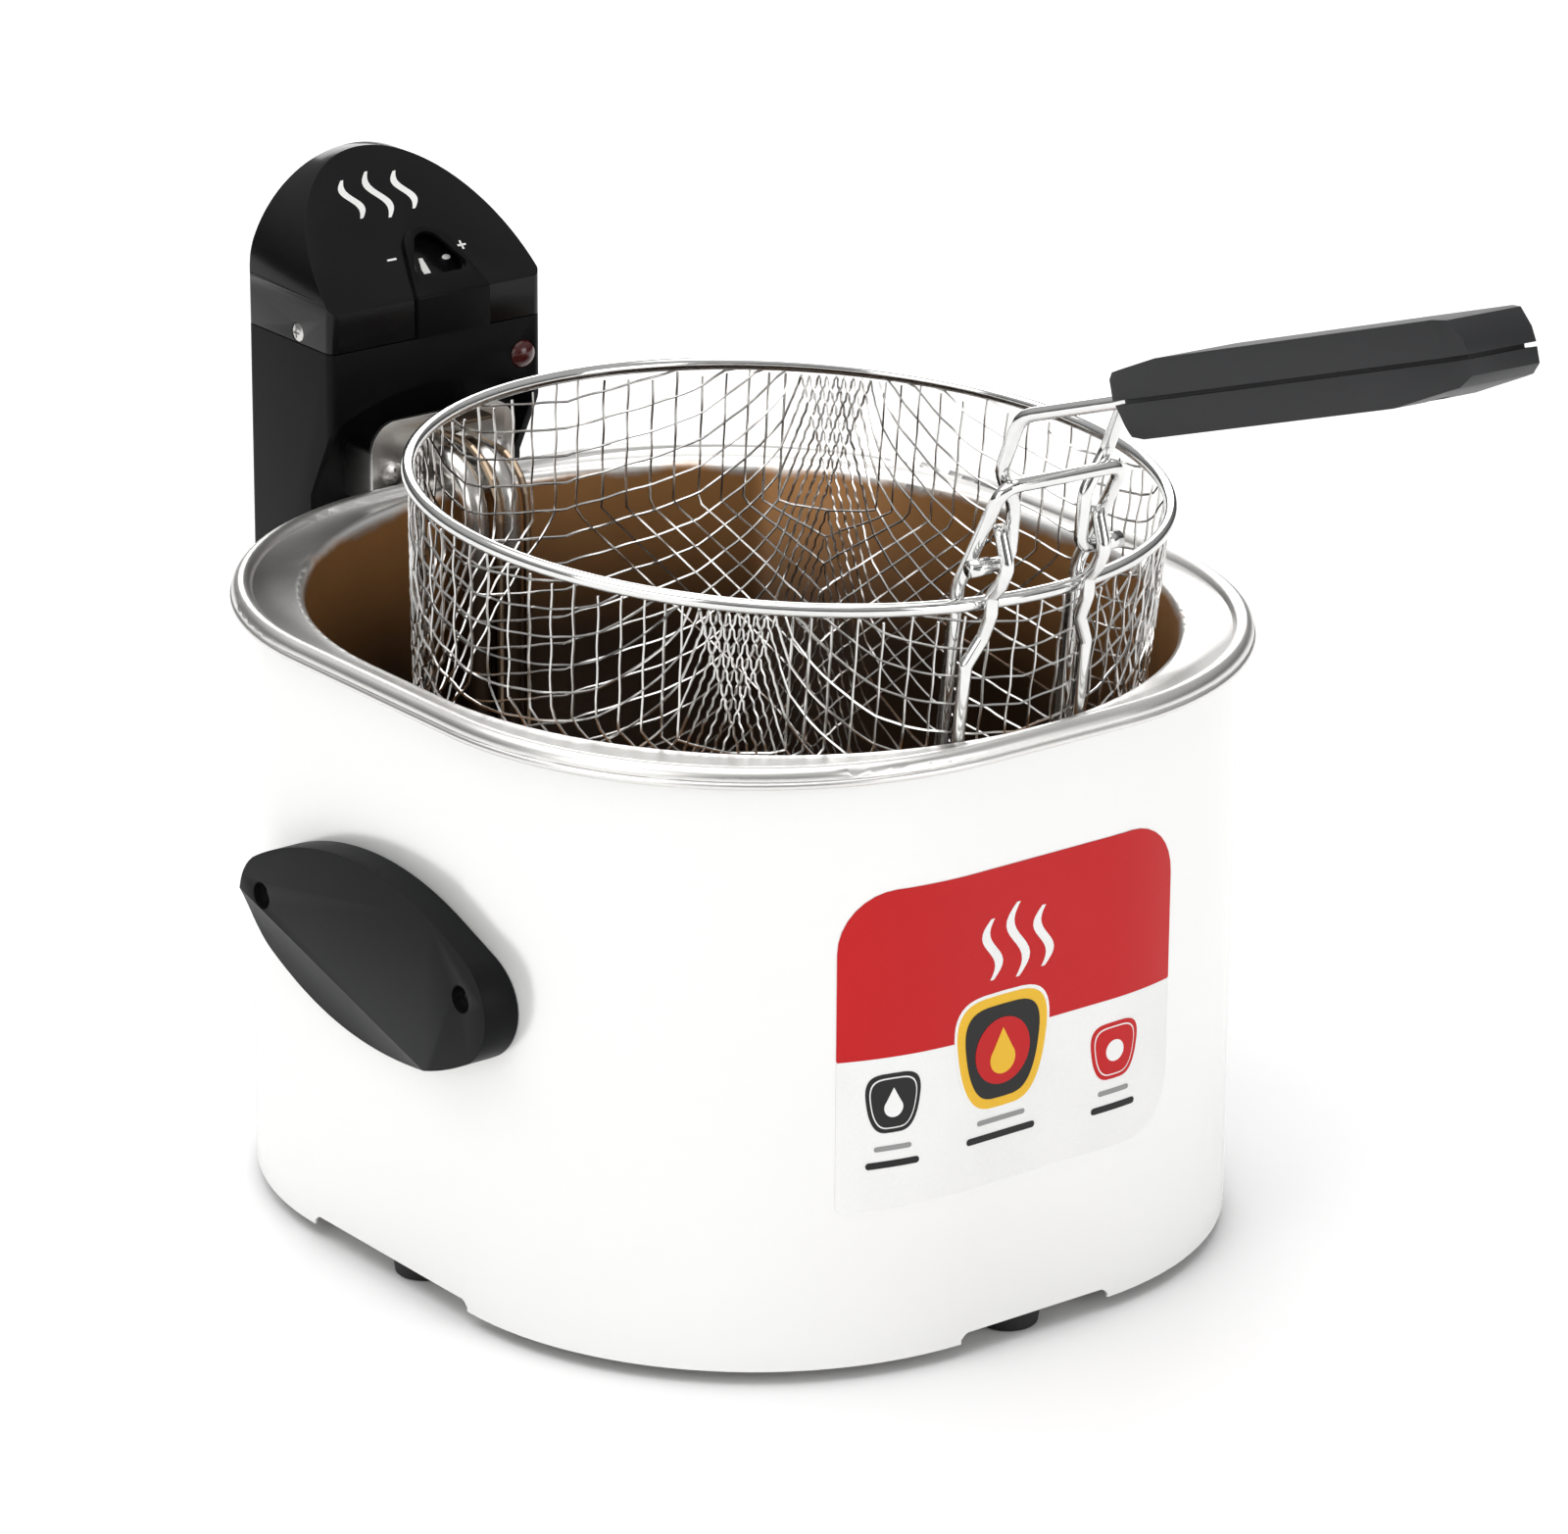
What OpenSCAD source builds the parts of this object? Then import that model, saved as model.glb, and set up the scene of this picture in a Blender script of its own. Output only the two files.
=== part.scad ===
// Counter-top deep fryer with a lift-out control head and a wire basket.
// Z = 0 is the surface it stands on. -Y is the front, +Y the control head.

/* [Body] */
// Width of the body across the side handles
body_w = 247.4; // [236:1:300]
// Depth of the body from front to back
body_d = 276; // [266:1:340]
// Height of the painted shell
body_h = 172; // [150:1:220]
// Radius of the body's upright corners
body_corner_r = 100; // [60:1:108]
// Thickness of the shell's steel sheet
shell_t = 0.8; // [0.6:0.1:1.5]
// Gap between the table and the shell's lower edge
foot_gap = 4; // [3:0.5:12]
// Height of the raised arch in the middle of each lower edge
relief_h = 3; // [1:0.5:6]
// Length of that arch on the front and the back
relief_front = 53; // [20:1:70]
// Length of that arch on the two sides
relief_side = 76; // [20:1:90]

/* [Feet and base] */
// Diameter of a rubber foot
foot_d = 19; // [14:1:26]
// Distance from the shell's face to a foot's centre
foot_inset = 12; // [11:1:30]
// Thickness of the base plate
base_t = 1.2; // [0.8:0.1:3]
// Height of the base plate's turned-up lip
base_lip = 9; // [5:1:20]

/* [Tank] */
// Width of the tank's mouth
mouth_w = 229; // [200:1:236]
// Depth of the tank's mouth from front to back
mouth_d = 263; // [240:1:266]
// Depth of the tank below its flange
tank_depth = 157; // [120:1:170]
// Thickness of the tank's sheet
tank_t = 0.8; // [0.6:0.1:1.5]
// Radius of the tank's mouth edge
mouth_r = 3; // [1:0.5:4]
// Radius of the tank's bottom edge
bottom_r = 14; // [6:1:30]
// Distance the rim stands out over the shell
rim_over = 4.7; // [3:0.1:8]
// Width of the rounded bead on the rim
bead_w = 6.2; // [5:0.1:8]
// Height of the bead above the hem's lower edge
bead_h = 5.8; // [5:0.1:9]
// Diameter of the rolled hem under the bead
hem_d = 2.2; // [1.6:0.1:2.4]

/* [Label] */
// Width of the label along the shell
label_w = 115; // [60:1:130]
// Height of the label
label_h = 93; // [50:1:110]
// Height of the label's lower edge above the table
label_z = 50.5; // [30:0.5:70]
// Sideways place of the label's centre
label_x = -8.5; // [-20:0.5:20]
// Radius of the label's round corners
label_r = 17; // [4:1:30]
// Thickness of the label
label_t = 0.3; // [0.2:0.1:0.6]

/* [Side handles] */
// Length of a side handle
handle_l = 121; // [110:1:150]
// Height of a side handle
handle_h = 56.6; // [44:1:70]
// Radius of a side handle's ends
handle_end_r = 17; // [10:1:21]
// Distance from the shell's flat side to the handle's face
handle_out = 9; // [8:0.5:20]
// Height of the handle's middle above the table
handle_z = 100.5; // [70:0.5:120]
// Distance between the handle's two screws
handle_screws_l = 98; // [80:1:104]
// Rise of the screws above the handle's middle
handle_screws_up = 3.5; // [0:0.5:6]

/* [Control head] */
// Width of the control head
head_w = 77; // [66:1:110]
// Depth of the control head
head_d = 45; // [40:1:70]
// Gap between the tank's rim and the head's face
head_gap = 7; // [5:0.5:12]
// Height of the seam between the housing and its cap above the rim
seam_up = 40.2; // [32:0.1:60]
// Reach of the head below the rim
head_down = 69.8; // [46:0.1:90]
// Height of the cap's face at the front
cap_front_h = 12.3; // [8:0.1:20]
// Slope of the cap's top face, in degrees
cap_slope = 42.4; // [30:0.1:50]
// Height of the cap's round arch centre above the seam
arch_up = 11; // [6:0.5:14]
// Wall of the head's plastic mouldings
head_t = 2.4; // [1.6:0.1:3]
// Height of the recess's crown in the housing's front above the rim
recess_up = 25.9; // [14:0.1:30]
// Rise of that crown above its ends
recess_rise = 8; // [2:0.5:20]
// Depth of the recess behind the housing's face
recess_deep = 12; // [8:0.5:16]

/* [Thermostat and lamp] */
// Sideways place of the dial's axis
dial_x = 5.5; // [-10:0.5:12]
// Distance of the dial's axis up the slope from the cap's front edge
dial_u = 13; // [11:0.5:24]
// Diameter of the dial
dial_d = 21; // [18:0.5:26]
// Depth of the dial's face below the cap's face
dial_sunk = 3.5; // [2:0.5:5]
// Diameter of the spindle
spindle_d = 6; // [4:0.5:6]
// Width of the dial's bezel
bezel_w = 26; // [24:0.5:34]
// Length of the bezel up the slope
bezel_u = 24.3; // [22:0.5:36]
// Height that the bezel stands proud of the cap
bezel_t = 1.2; // [0.6:0.1:2.5]
// Diameter of the pilot lamp's lens
lamp_d = 8.8; // [6:0.2:10]
// Diameter of the reset button
reset_d = 8; // [6:0.5:10]
// Travel of the reset button
reset_travel = 1.5; // [1:0.1:2.5]

/* [Heating element] */
// Diameter of the element's tube
tube_d = 8.2; // [6:0.1:9]
// Distance between the two rising tubes
tube_gap = 11.6; // [10:0.1:14]
// Bend radius where the tubes cross the rim
hook_r = 16; // [14:0.5:18]
// Height of the tubes' middle above the rim where they cross it
cross_up = 5.7; // [5.2:0.1:12]
// Height of the element's loops above the tank's floor
loop_up = 39.4; // [28:0.1:48]
// Width of the element's outer loop
loop_w = 140; // [110:1:160]
// Length of the element's loops from back to front
loop_l = 165; // [120:1:180]
// Width of the element's inner loop
loop_in = 56; // [40:1:64]

/* [Basket] */
// Outer diameter of the basket's rim
basket_d = 219; // [190:1:222]
// Depth of the basket
basket_deep = 145; // [100:1:146]
// Wall slope of the basket, in mm per mm
basket_taper = 0.06; // [0.02:0.005:0.12]
// Diameter of the rim, leg and handle wires
wire_d = 4; // [3:0.1:5]
// Thickness of the mesh
mesh_t = 0.8; // [0.5:0.1:1.2]
// Height of the basket's rim above the tank's rim
basket_up = 39.1; // [35:0.1:58]
// Distance of the rim's centre in front of the tank's centre
basket_forward = 23.2; // [18:0.5:26]
// Lean of the basket towards the front, in degrees
lean_front = 2.35; // [0:0.05:3]
// Lean of the basket towards the right, in degrees
lean_side = 1.78; // [0:0.05:2]
// Distance between the legs of the stirrup
stirrup_w = 42; // [34:1:60]
// Height of the stirrup's bar above the rim
stirrup_up = 36.5; // [30:0.5:60]
// Reach of the stirrup's legs below the rim
stirrup_down = 50; // [30:1:90]

/* [Basket handle] */
// Height of the hinge pins above the rim
pin_up = 12.8; // [11:0.1:15]
// Height of the bend in the handle wire above the rim
bend_up = 56; // [50:0.5:90]
// Length of the grip
grip_l = 139; // [110:1:180]
// Width of the grip
grip_w = 28.5; // [20:0.5:34]
// Thickness of one half of the grip
grip_half_h = 9.7; // [6:0.1:12]
// Gap between the two halves
grip_gap = 1.2; // [0.4:0.1:2]
// Slope of the grip above the rim's plane, in degrees
grip_angle = 21; // [5:0.5:35]

/* [Hidden] */

$fn = 96;
wire_fn = 32;
wire_sides = 12;
eps = 0.01;

// Clearances
fit_gap = 0.3;          // between pieces that only lie side by side
press_gap = 0.05;       // between a screw or rivet and its hole
run_gap = 0.05;         // radial, between a shaft and its bearing
stop_gap = 0.3;         // between the handle wire and the bar it rests on

// Levels and faces worked out from the sizes above
shell_x = body_w / 2;
shell_y = body_d / 2;
hem_z = foot_gap + body_h;
flange_z = hem_z + bead_h - 2.2;
rim_top_z = hem_z + bead_h;
mouth_x = mouth_w / 2;
mouth_y = mouth_d / 2;
tank_floor_z = flange_z - tank_depth;
seam_z = rim_top_z + seam_up;
head_low_z = rim_top_z - head_down;
recess_z = rim_top_z + recess_up;
cross_z = rim_top_z + cross_up;
loop_z = tank_floor_z + loop_up;
basket_z = rim_top_z + basket_up;
base_z = foot_gap + 4;
head_y = shell_y + rim_over + head_gap;
head_back_y = head_y + head_d;
head_x = head_w / 2;
arch_z = seam_z + arch_up;
cap_front_z = seam_z + cap_front_h;
recess_y = head_y + recess_deep;
plate_y = shell_y + rim_over + 4.3;
plate_t = 1.5;
plate_x = 26;
plate_top_z = cross_z + 11.5;
plate_low_z = head_low_z + 10;

// Screws
m4_d = 4;
m4_head_d = 7.4;
m4_head_h = 2.6;
m4_nut_d = 8;
m4_nut_h = 3.2;
m3_d = 3;
m3_head_d = 5.6;
m3_head_h = 2;

// Colours
steel_white = [0.93, 0.93, 0.93];
stainless = [0.78, 0.78, 0.77];
chrome_wire = [0.86, 0.86, 0.86];
black_plastic = [0.08, 0.08, 0.08];
grey_plastic = [0.45, 0.45, 0.43];

// Body
feet = [
    [0, -(shell_y - foot_inset)],
    [0, shell_y - foot_inset],
    [-(shell_x - foot_inset), 0],
    [shell_x - foot_inset, 0]
];
rail_rivet_x = 18;
rail_rivet_z = [hem_z - 50, hem_z - 16];
foot_pocket_d = m4_head_d + 2;
foot_pocket_h = 4;

// Control head: housing and cap
bracket_screw_x = 19.5;
bracket_screw_z = cross_z - 4.5;
boss_d = 8;
boss_l = 9;
tube_x = tube_gap / 2;
capillary_d = 2.4;
capillary_up = 4.5;
cutout_x = tube_x + tube_d / 2 + 3.2;
lamp_x = head_x - head_t - lamp_d / 2 - 0.3;
lamp_z = seam_z - 11.5;
lamp_l = 4.8;
reset_x = 20;
reset_z = head_low_z + 28;
gland_x = -18;
gland_d = 16;
gland_bore_d = 7.2;
cap_screw_y = head_y + 17.5;
cap_screw_z = seam_z + 3.4;
tab_w = 10;
dial_t = 3;
flange_n = dial_sunk + dial_t + 8;
ear_x = 14;

// Element, bracket and rail
rail_t = 1.2;
rise_y = mouth_y - tube_d / 2 - 4.9;
loop_back_y = rise_y - 42;
loop_front_y = loop_back_y - loop_l;
tail_y = recess_y + 14;
loop_r = 18;
foot_r = 11;
bulb_z = loop_z;
bulb_y0 = loop_front_y + 55;
bulb_l = 65;
dip_z = loop_z - tube_d / 2 - 4.5;
cutout_bulb_l = 50;

// Parts inside the housing
cutout_y1 = head_back_y - head_t - fit_gap;
switch_x = [-28, -12];
switch_z = head_low_z + 14;
switch_y = recess_y + head_t;

// Basket
rim_r = basket_d / 2 - wire_d / 2;
mesh_r = rim_r - 0.4;
stirrup_x = stirrup_w / 2;
leg_gap = mesh_t / 2 + wire_d / 2 + 0.1;
pin_y = -(rim_r + wire_d);
bar_y = pin_y - 1.1 - wire_d - stop_gap;

// Basket handle
grip_y = pin_y - 37.2;
grip_z = bend_up + 12.2;
wire_in_x = 7;
wire_in_l = 79;
wire_lead = 2.6;
sleeve_d = wire_d + 0.8;
sleeve_l = 6.6;
grip_screw_l = [40, grip_l - 27];
tongue_in = 2.4;        // from the grip's sides to the tongue between its halves

// ---- General shapes ----

// Rectangle with four round corners, made of squares and circles so that
// its corners stay true arcs
module round_rect(half_x, half_y, r) {
    square([2 * half_x, 2 * (half_y - r)], center = true);
    square([2 * (half_x - r), 2 * half_y], center = true);
    for (sx = [-1, 1], sy = [-1, 1])
        translate([sx * (half_x - r), sy * (half_y - r)]) circle(r);
}

// The shell's outline, moved outward by out
module shell_outline(out = 0) {
    round_rect(shell_x + out, shell_y + out, body_corner_r + out);
}

// The tank's mouth, a round with two straight sides, moved outward by out
module mouth_outline(out = 0) {
    for (s = [-1, 1]) translate([0, s * (mouth_y - mouth_x)]) circle(mouth_x + out);
    square([2 * (mouth_x + out), 2 * (mouth_y - mouth_x)], center = true);
}

// Carries a profile round the shell's outline. The profile's X is the
// distance outside the shell, its Y the height.
module along_shell() {
    side_x = shell_x - body_corner_r;
    side_y = shell_y - body_corner_r;
    for (q = [0:3]) {
        sx = (q == 0 || q == 3) ? 1 : -1;
        sy = (q < 2) ? 1 : -1;
        translate([sx * side_x, sy * side_y]) rotate(90 * q)
            rotate_extrude(angle = 90) translate([body_corner_r, 0]) children();
    }
    for (s = [0, 180]) rotate(s) {
        translate([shell_x, side_y, 0]) rotate([90, 0, 0])
            linear_extrude(2 * side_y) children();
        translate([-side_x, shell_y, 0]) rotate([90, 0, 90])
            linear_extrude(2 * side_x) children();
    }
}

// Carries a profile round the tank's mouth. The profile's X is the
// distance outside the mouth, its Y the height.
module along_mouth() {
    half = mouth_y - mouth_x;
    for (s = [0, 180]) rotate(s) {
        translate([0, half, 0]) rotate_extrude(angle = 180)
            translate([mouth_x, 0]) children();
        translate([mouth_x, half, 0]) rotate([90, 0, 0])
            linear_extrude(2 * half) children();
    }
}

function unit(v) = v / norm(v);
function turn(p, i) = acos(unit(p[i] - p[i - 1]) * unit(p[i + 1] - p[i]));
function trim(p, r, i) =
    (i == 0 || i == len(p) - 1) ? 0 : r[i] * tan(turn(p, i) / 2);

// Places and directions along the bend at point i, one about every 18 degrees
function bend(p, r, i) =
    let (
        u = unit(p[i] - p[i - 1]),
        inward = cross(unit(cross(u, p[i + 1] - p[i])), u),
        centre = p[i] - u * trim(p, r, i) + inward * r[i],
        steps = ceil(turn(p, i) / 18)
    )
    [for (k = [0:steps]) let (a = turn(p, i) * k / steps)
        [centre + r[i] * (u * sin(a) - inward * cos(a)), u * cos(a) + inward * sin(a)]];

// Round wire or tube bent along the points p, with bend radius r at each
module bent_wire(p, r, d, sides = wire_sides) {
    last = len(p) - 1;
    places = [
        [p[0], unit(p[1] - p[0])],
        for (i = [1:last - 1], place = bend(p, r, i)) place,
        [p[last], unit(p[last] - p[last - 1])]
    ];
    n = len(places);
    first = abs(places[0][1].z) > 0.9 ? [1, 0, 0] : [0, 0, 1];
    across = [
        for (i = 0, s = first; i < n;
            i = i + 1, s = unit(s - (s * places[min(i, n - 1)][1]) * places[min(i, n - 1)][1]))
            unit(s - (s * places[i][1]) * places[i][1])
    ];
    points = [
        for (i = [0:n - 1], k = [0:sides - 1])
            let (a = 360 * k / sides, other = cross(places[i][1], across[i]))
                places[i][0] + d / 2 * (across[i] * cos(a) + other * sin(a))
    ];
    walls = [
        for (i = [0:n - 2], k = [0:sides - 1])
            let (m = (k + 1) % sides, low = i * sides, high = low + sides)
                each [[low + k, high + k, high + m], [low + k, high + m, low + m]]
    ];
    ends = [
        [for (k = [0:sides - 1]) k],
        [for (k = [sides - 1:-1:0]) (n - 1) * sides + k]
    ];
    polyhedron(points, concat(ends, walls));
}

// Pan-head screw along -Z, its head's underside at the origin
module pan_screw(d, head_d, head_h, length) {
    difference() {
        intersection() {
            cylinder(h = head_h, d = head_d);
            translate([0, 0, head_h - head_d]) sphere(head_d);
        }
        for (a = [0, 90]) rotate(a)
            translate([-head_d * 0.28, -0.4, head_h * 0.45])
                cube([head_d * 0.56, 0.8, head_h]);
    }
    translate([0, 0, -length]) cylinder(h = length + eps, d = d);
}

module hex_nut(d, hole_d, h) {
    difference() {
        cylinder(h = h, d = d, $fn = 6);
        translate([0, 0, -1]) cylinder(h = h + 2, d = hole_d);
    }
}

// ---- Body ----

module at_feet() {
    for (f = feet) translate([f.x, f.y, 0]) children();
}

// Places children on both sides at the handle screws, +Z pointing out
module at_handle_screws(sides = [-1, 1]) {
    for (s = sides, k = [-1, 1])
        translate([s * shell_side_x(handle_screws_l / 2), k * handle_screws_l / 2,
            handle_z + handle_screws_up])
            rotate([0, s * 90, 0]) children();
}

// Distance of the shell's side from the middle, at the depth y
function shell_side_x(y) =
    abs(y) <= shell_y - body_corner_r ? shell_x
    : shell_x - body_corner_r
      + sqrt(pow(body_corner_r, 2) - pow(abs(y) - shell_y + body_corner_r, 2));

module at_rail_rivets() {
    for (sx = [-1, 1], z = rail_rivet_z)
        translate([sx * rail_rivet_x, shell_y, z]) rotate([-90, 0, 0]) children();
}

module relief(length) {
    r = relief_h;
    translate([-length / 2, foot_gap - 1]) square([length, relief_h + 1 - r / 2]);
    translate([-length / 2 + r, foot_gap - 1]) square([length - 2 * r, relief_h + 1]);
    for (s = [-1, 1]) translate([s * (length / 2 - r), foot_gap + relief_h - r])
        circle(r);
}

module body_shell() {
    top_z = flange_z - tank_t - fit_gap;
    color(steel_white) difference() {
        translate([0, 0, foot_gap]) linear_extrude(top_z - foot_gap) difference() {
            shell_outline();
            shell_outline(-shell_t);
        }
        rotate([90, 0, 0]) linear_extrude(2 * body_d, center = true)
            relief(relief_front);
        rotate([90, 0, 90]) linear_extrude(2 * body_w, center = true)
            relief(relief_side);
        at_handle_screws() cylinder(h = 20, d = m4_d + 2 * press_gap, center = true);
        at_rail_rivets() cylinder(h = 20, d = m4_d + 2 * press_gap, center = true);
    }
}

module base_plate() {
    inset = shell_t + fit_gap;
    color(stainless) difference() {
        translate([0, 0, base_z]) linear_extrude(base_lip) shell_outline(-inset);
        translate([0, 0, base_z + base_t]) linear_extrude(base_lip)
            shell_outline(-inset - base_t);
        at_feet() cylinder(h = 40, d = m4_d + 2 * press_gap);
        // Air slots under the tank
        for (a = [0:30:330]) rotate(a) translate([45, -3, 0]) cube([32, 6, 40]);
    }
}

module rubber_feet() {
    color([0.1, 0.1, 0.1]) at_feet() difference() {
        union() {
            cylinder(h = base_z, d1 = foot_d - 2, d2 = foot_d);
        }
        translate([0, 0, -1]) cylinder(h = foot_pocket_h + 1, d = foot_pocket_d);
        cylinder(h = 40, d = m4_d + 2 * press_gap);
    }
}

module foot_screws() {
    color(stainless) at_feet() translate([0, 0, foot_pocket_h]) rotate([180, 0, 0])
        pan_screw(m4_d, m4_head_d, m4_head_h, base_z + base_t + m4_nut_h - foot_pocket_h + 1);
}

module foot_nuts() {
    color(stainless) at_feet() translate([0, 0, base_z + base_t])
        hex_nut(m4_nut_d, m4_d + 2 * press_gap, m4_nut_h);
}

// ---- Tank ----

// Section of the rim: rolled hem, bead and the start of the flange
module rim_section() {
    out = rim_over;
    bead_r = bead_w / 2;
    bead_y = rim_top_z - bead_r;
    difference() {
        union() {
            translate([out - bead_r - 0.6, bead_y]) circle(bead_r, $fn = 48);
            translate([out - bead_w - 0.6, hem_z + hem_d]) square([bead_w, bead_y - hem_z - hem_d]);
        }
        translate([out - bead_r - 0.6, bead_y]) circle(bead_r - tank_t, $fn = 48);
        translate([out - bead_w - 0.6 - 1, hem_z - 1])
            square([bead_w + 1 - tank_t, bead_y - hem_z + 1]);
        translate([out - bead_w - 2, hem_z]) square([bead_w / 2 + 1, flange_z - tank_t - hem_z]);
    }
    translate([out - hem_d / 2, hem_z + hem_d / 2]) circle(d = hem_d, $fn = 32);
}

// Rolled edge of the mouth, from the flange into the wall
module mouth_section() {
    r = mouth_r;
    difference() {
        intersection() {
            translate([r, flange_z - r]) circle(r, $fn = 48);
            translate([0, flange_z - r]) square(r);
        }
        translate([r, flange_z - r]) circle(r - tank_t, $fn = 48);
    }
}

// Round corner between the wall and the tank's floor
module floor_section() {
    r = bottom_r + tank_t;
    centre = [-bottom_r, tank_floor_z + r];
    difference() {
        intersection() {
            translate(centre) circle(r, $fn = 48);
            translate([centre.x, tank_floor_z]) square(r);
        }
        translate(centre) circle(bottom_r, $fn = 48);
    }
}

module oil_tank() {
    bead_in = rim_over - bead_w - 0.6;
    wall_low_z = tank_floor_z + bottom_r + tank_t;
    color(stainless) {
        along_shell() rim_section();
        translate([0, 0, flange_z - tank_t]) linear_extrude(tank_t) difference() {
            shell_outline(bead_in + tank_t);
            mouth_outline(mouth_r);
        }
        along_mouth() mouth_section();
        translate([0, 0, wall_low_z]) linear_extrude(flange_z - mouth_r - wall_low_z)
            difference() {
                mouth_outline(tank_t);
                mouth_outline();
            }
        along_mouth() floor_section();
        translate([0, 0, tank_floor_z]) linear_extrude(tank_t) mouth_outline(-bottom_r);
    }
}

module front_label() {
    color([0.78, 0.1, 0.1]) intersection() {
        linear_extrude(hem_z) difference() {
            shell_outline(label_t);
            shell_outline();
        }
        translate([label_x, 0, label_z + label_h / 2]) rotate([90, 0, 0])
            linear_extrude(body_d) union() {
                round_rect(label_w / 2, label_h / 2, label_r);
                translate([-label_w / 2, -label_h / 2]) square(label_r);
            }
    }
}

// ---- Side handles ----

// Long oval of four arcs
module handle_outline() {
    end_x = handle_l / 2 - handle_end_r;
    half_h = handle_h / 2;
    big_r = (pow(end_x, 2) + pow(half_h, 2) - pow(handle_end_r, 2))
        / (2 * (half_h - handle_end_r));
    reach = end_x * big_r / (big_r - handle_end_r);
    intersection() {
        square([2 * reach, handle_h], center = true);
        translate([0, half_h - big_r]) circle(big_r, $fn = 180);
        translate([0, big_r - half_h]) circle(big_r, $fn = 180);
    }
    for (s = [-1, 1]) translate([s * end_x, 0]) circle(handle_end_r);
}

module side_handle(s) {
    recess_d = 8;
    recess_floor = 4;
    color(black_plastic) difference() {
        translate([s * (shell_x + handle_out), 0, handle_z])
            rotate([90, 0, -s * 90])
                linear_extrude(handle_out + 12) handle_outline();
        // The back lies against the shell
        translate([0, 0, -1]) linear_extrude(hem_z) shell_outline(fit_gap);
        // Finger scoop under the lower edge
        translate([s * (shell_x + handle_out + 31), 10, handle_z - 31])
            rotate([90 + 16, 0, 0]) cylinder(h = 200, r = 36, center = true);
        at_handle_screws([s]) {
            cylinder(h = 60, d = m4_d + 2 * press_gap, center = true);
            translate([0, 0, recess_floor]) cylinder(h = 60, d = recess_d);
        }
    }
}

module side_handle_left() { side_handle(-1); }
module side_handle_right() { side_handle(1); }

module handle_screws() {
    color(stainless) at_handle_screws() translate([0, 0, 4])
        pan_screw(m4_d, m4_head_d, m4_head_h, 12);
}

module handle_nuts() {
    color(stainless) at_handle_screws() translate([0, 0, -shell_t - m4_nut_h - 1.4])
        hex_nut(m4_nut_d, m4_d + 2 * press_gap, m4_nut_h);
}

// ---- Control head: housing and cap ----

// Rectangle in plan from x0 to x1 and y0 to y1 with round corners
module plan_box(x0, x1, y0, y1, r) {
    translate([(x0 + x1) / 2, (y0 + y1) / 2])
        round_rect((x1 - x0) / 2, (y1 - y0) / 2, r);
}

module head_outline(less = 0) {
    plan_box(-head_x + less, head_x - less, head_y + less, head_back_y - less, 3 - less / 2);
}

// Face of the recess seen from the front, grown upward by grow
module recess_arch(grow = 0) {
    end_x = head_x - head_t;
    r = (pow(end_x, 2) + pow(recess_rise, 2)) / (2 * recess_rise) + grow;
    centre_z = recess_z + grow - r;
    translate([0, centre_z]) circle(r);
    translate([-r, centre_z - body_h]) square([2 * r, body_h]);
}

// The recess, open to the front, as far back as deep
module recess_space(half_x, grow, deep) {
    intersection() {
        translate([0, head_y + deep, 0]) rotate([90, 0, 0])
            linear_extrude(deep + 10) recess_arch(grow);
        translate([-half_x, 0, 0]) cube([2 * half_x, 2 * body_d, 2 * body_h]);
    }
}

// Side view of what is cut from the housing's front below its face
module front_setback() {
    top = recess_z - recess_rise;
    knee = hem_z;
    rotate([90, 0, 90]) linear_extrude(2 * body_w, center = true) polygon([
        [head_y - 5, head_low_z - 5], [recess_y - eps, head_low_z - 5],
        [recess_y - eps, knee], [head_y, top], [head_y - 5, top]]);
}

module at_bracket_screws(y) {
    for (s = [-1, 1]) translate([s * bracket_screw_x, y, bracket_screw_z])
        rotate([90, 0, 0]) children();
}

// Holes that the element's tubes and the capillaries pass through
module tube_holes(y0, y1, gap) {
    for (s = [-1, 1]) translate([s * tube_x, y1, cross_z]) rotate([90, 0, 0])
        cylinder(h = y1 - y0, d = tube_d + 2 * gap);
    for (c = [[0, capillary_up], [cutout_x, 0]])
        translate([c.x, y1, cross_z + c.y]) rotate([90, 0, 0])
            cylinder(h = y1 - y0, d = capillary_d + 2 * gap);
}

module at_cap_screws() {
    for (s = [-1, 1]) translate([s * head_x, cap_screw_y, cap_screw_z])
        rotate([0, s * 90, 0]) children();
}

module housing_tabs() {
    inner = head_x - head_t;
    for (s = [-1, 1]) translate([0, cap_screw_y - tab_w / 2, 0]) {
        translate([s > 0 ? inner - fit_gap - head_t : -inner + fit_gap, 0, seam_z - 10])
            cube([head_t, tab_w, 18]);
        translate([s > 0 ? inner - 1 : -inner - 1, 0, seam_z - 10])
            cube([2, tab_w, 9]);
    }
}

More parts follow.
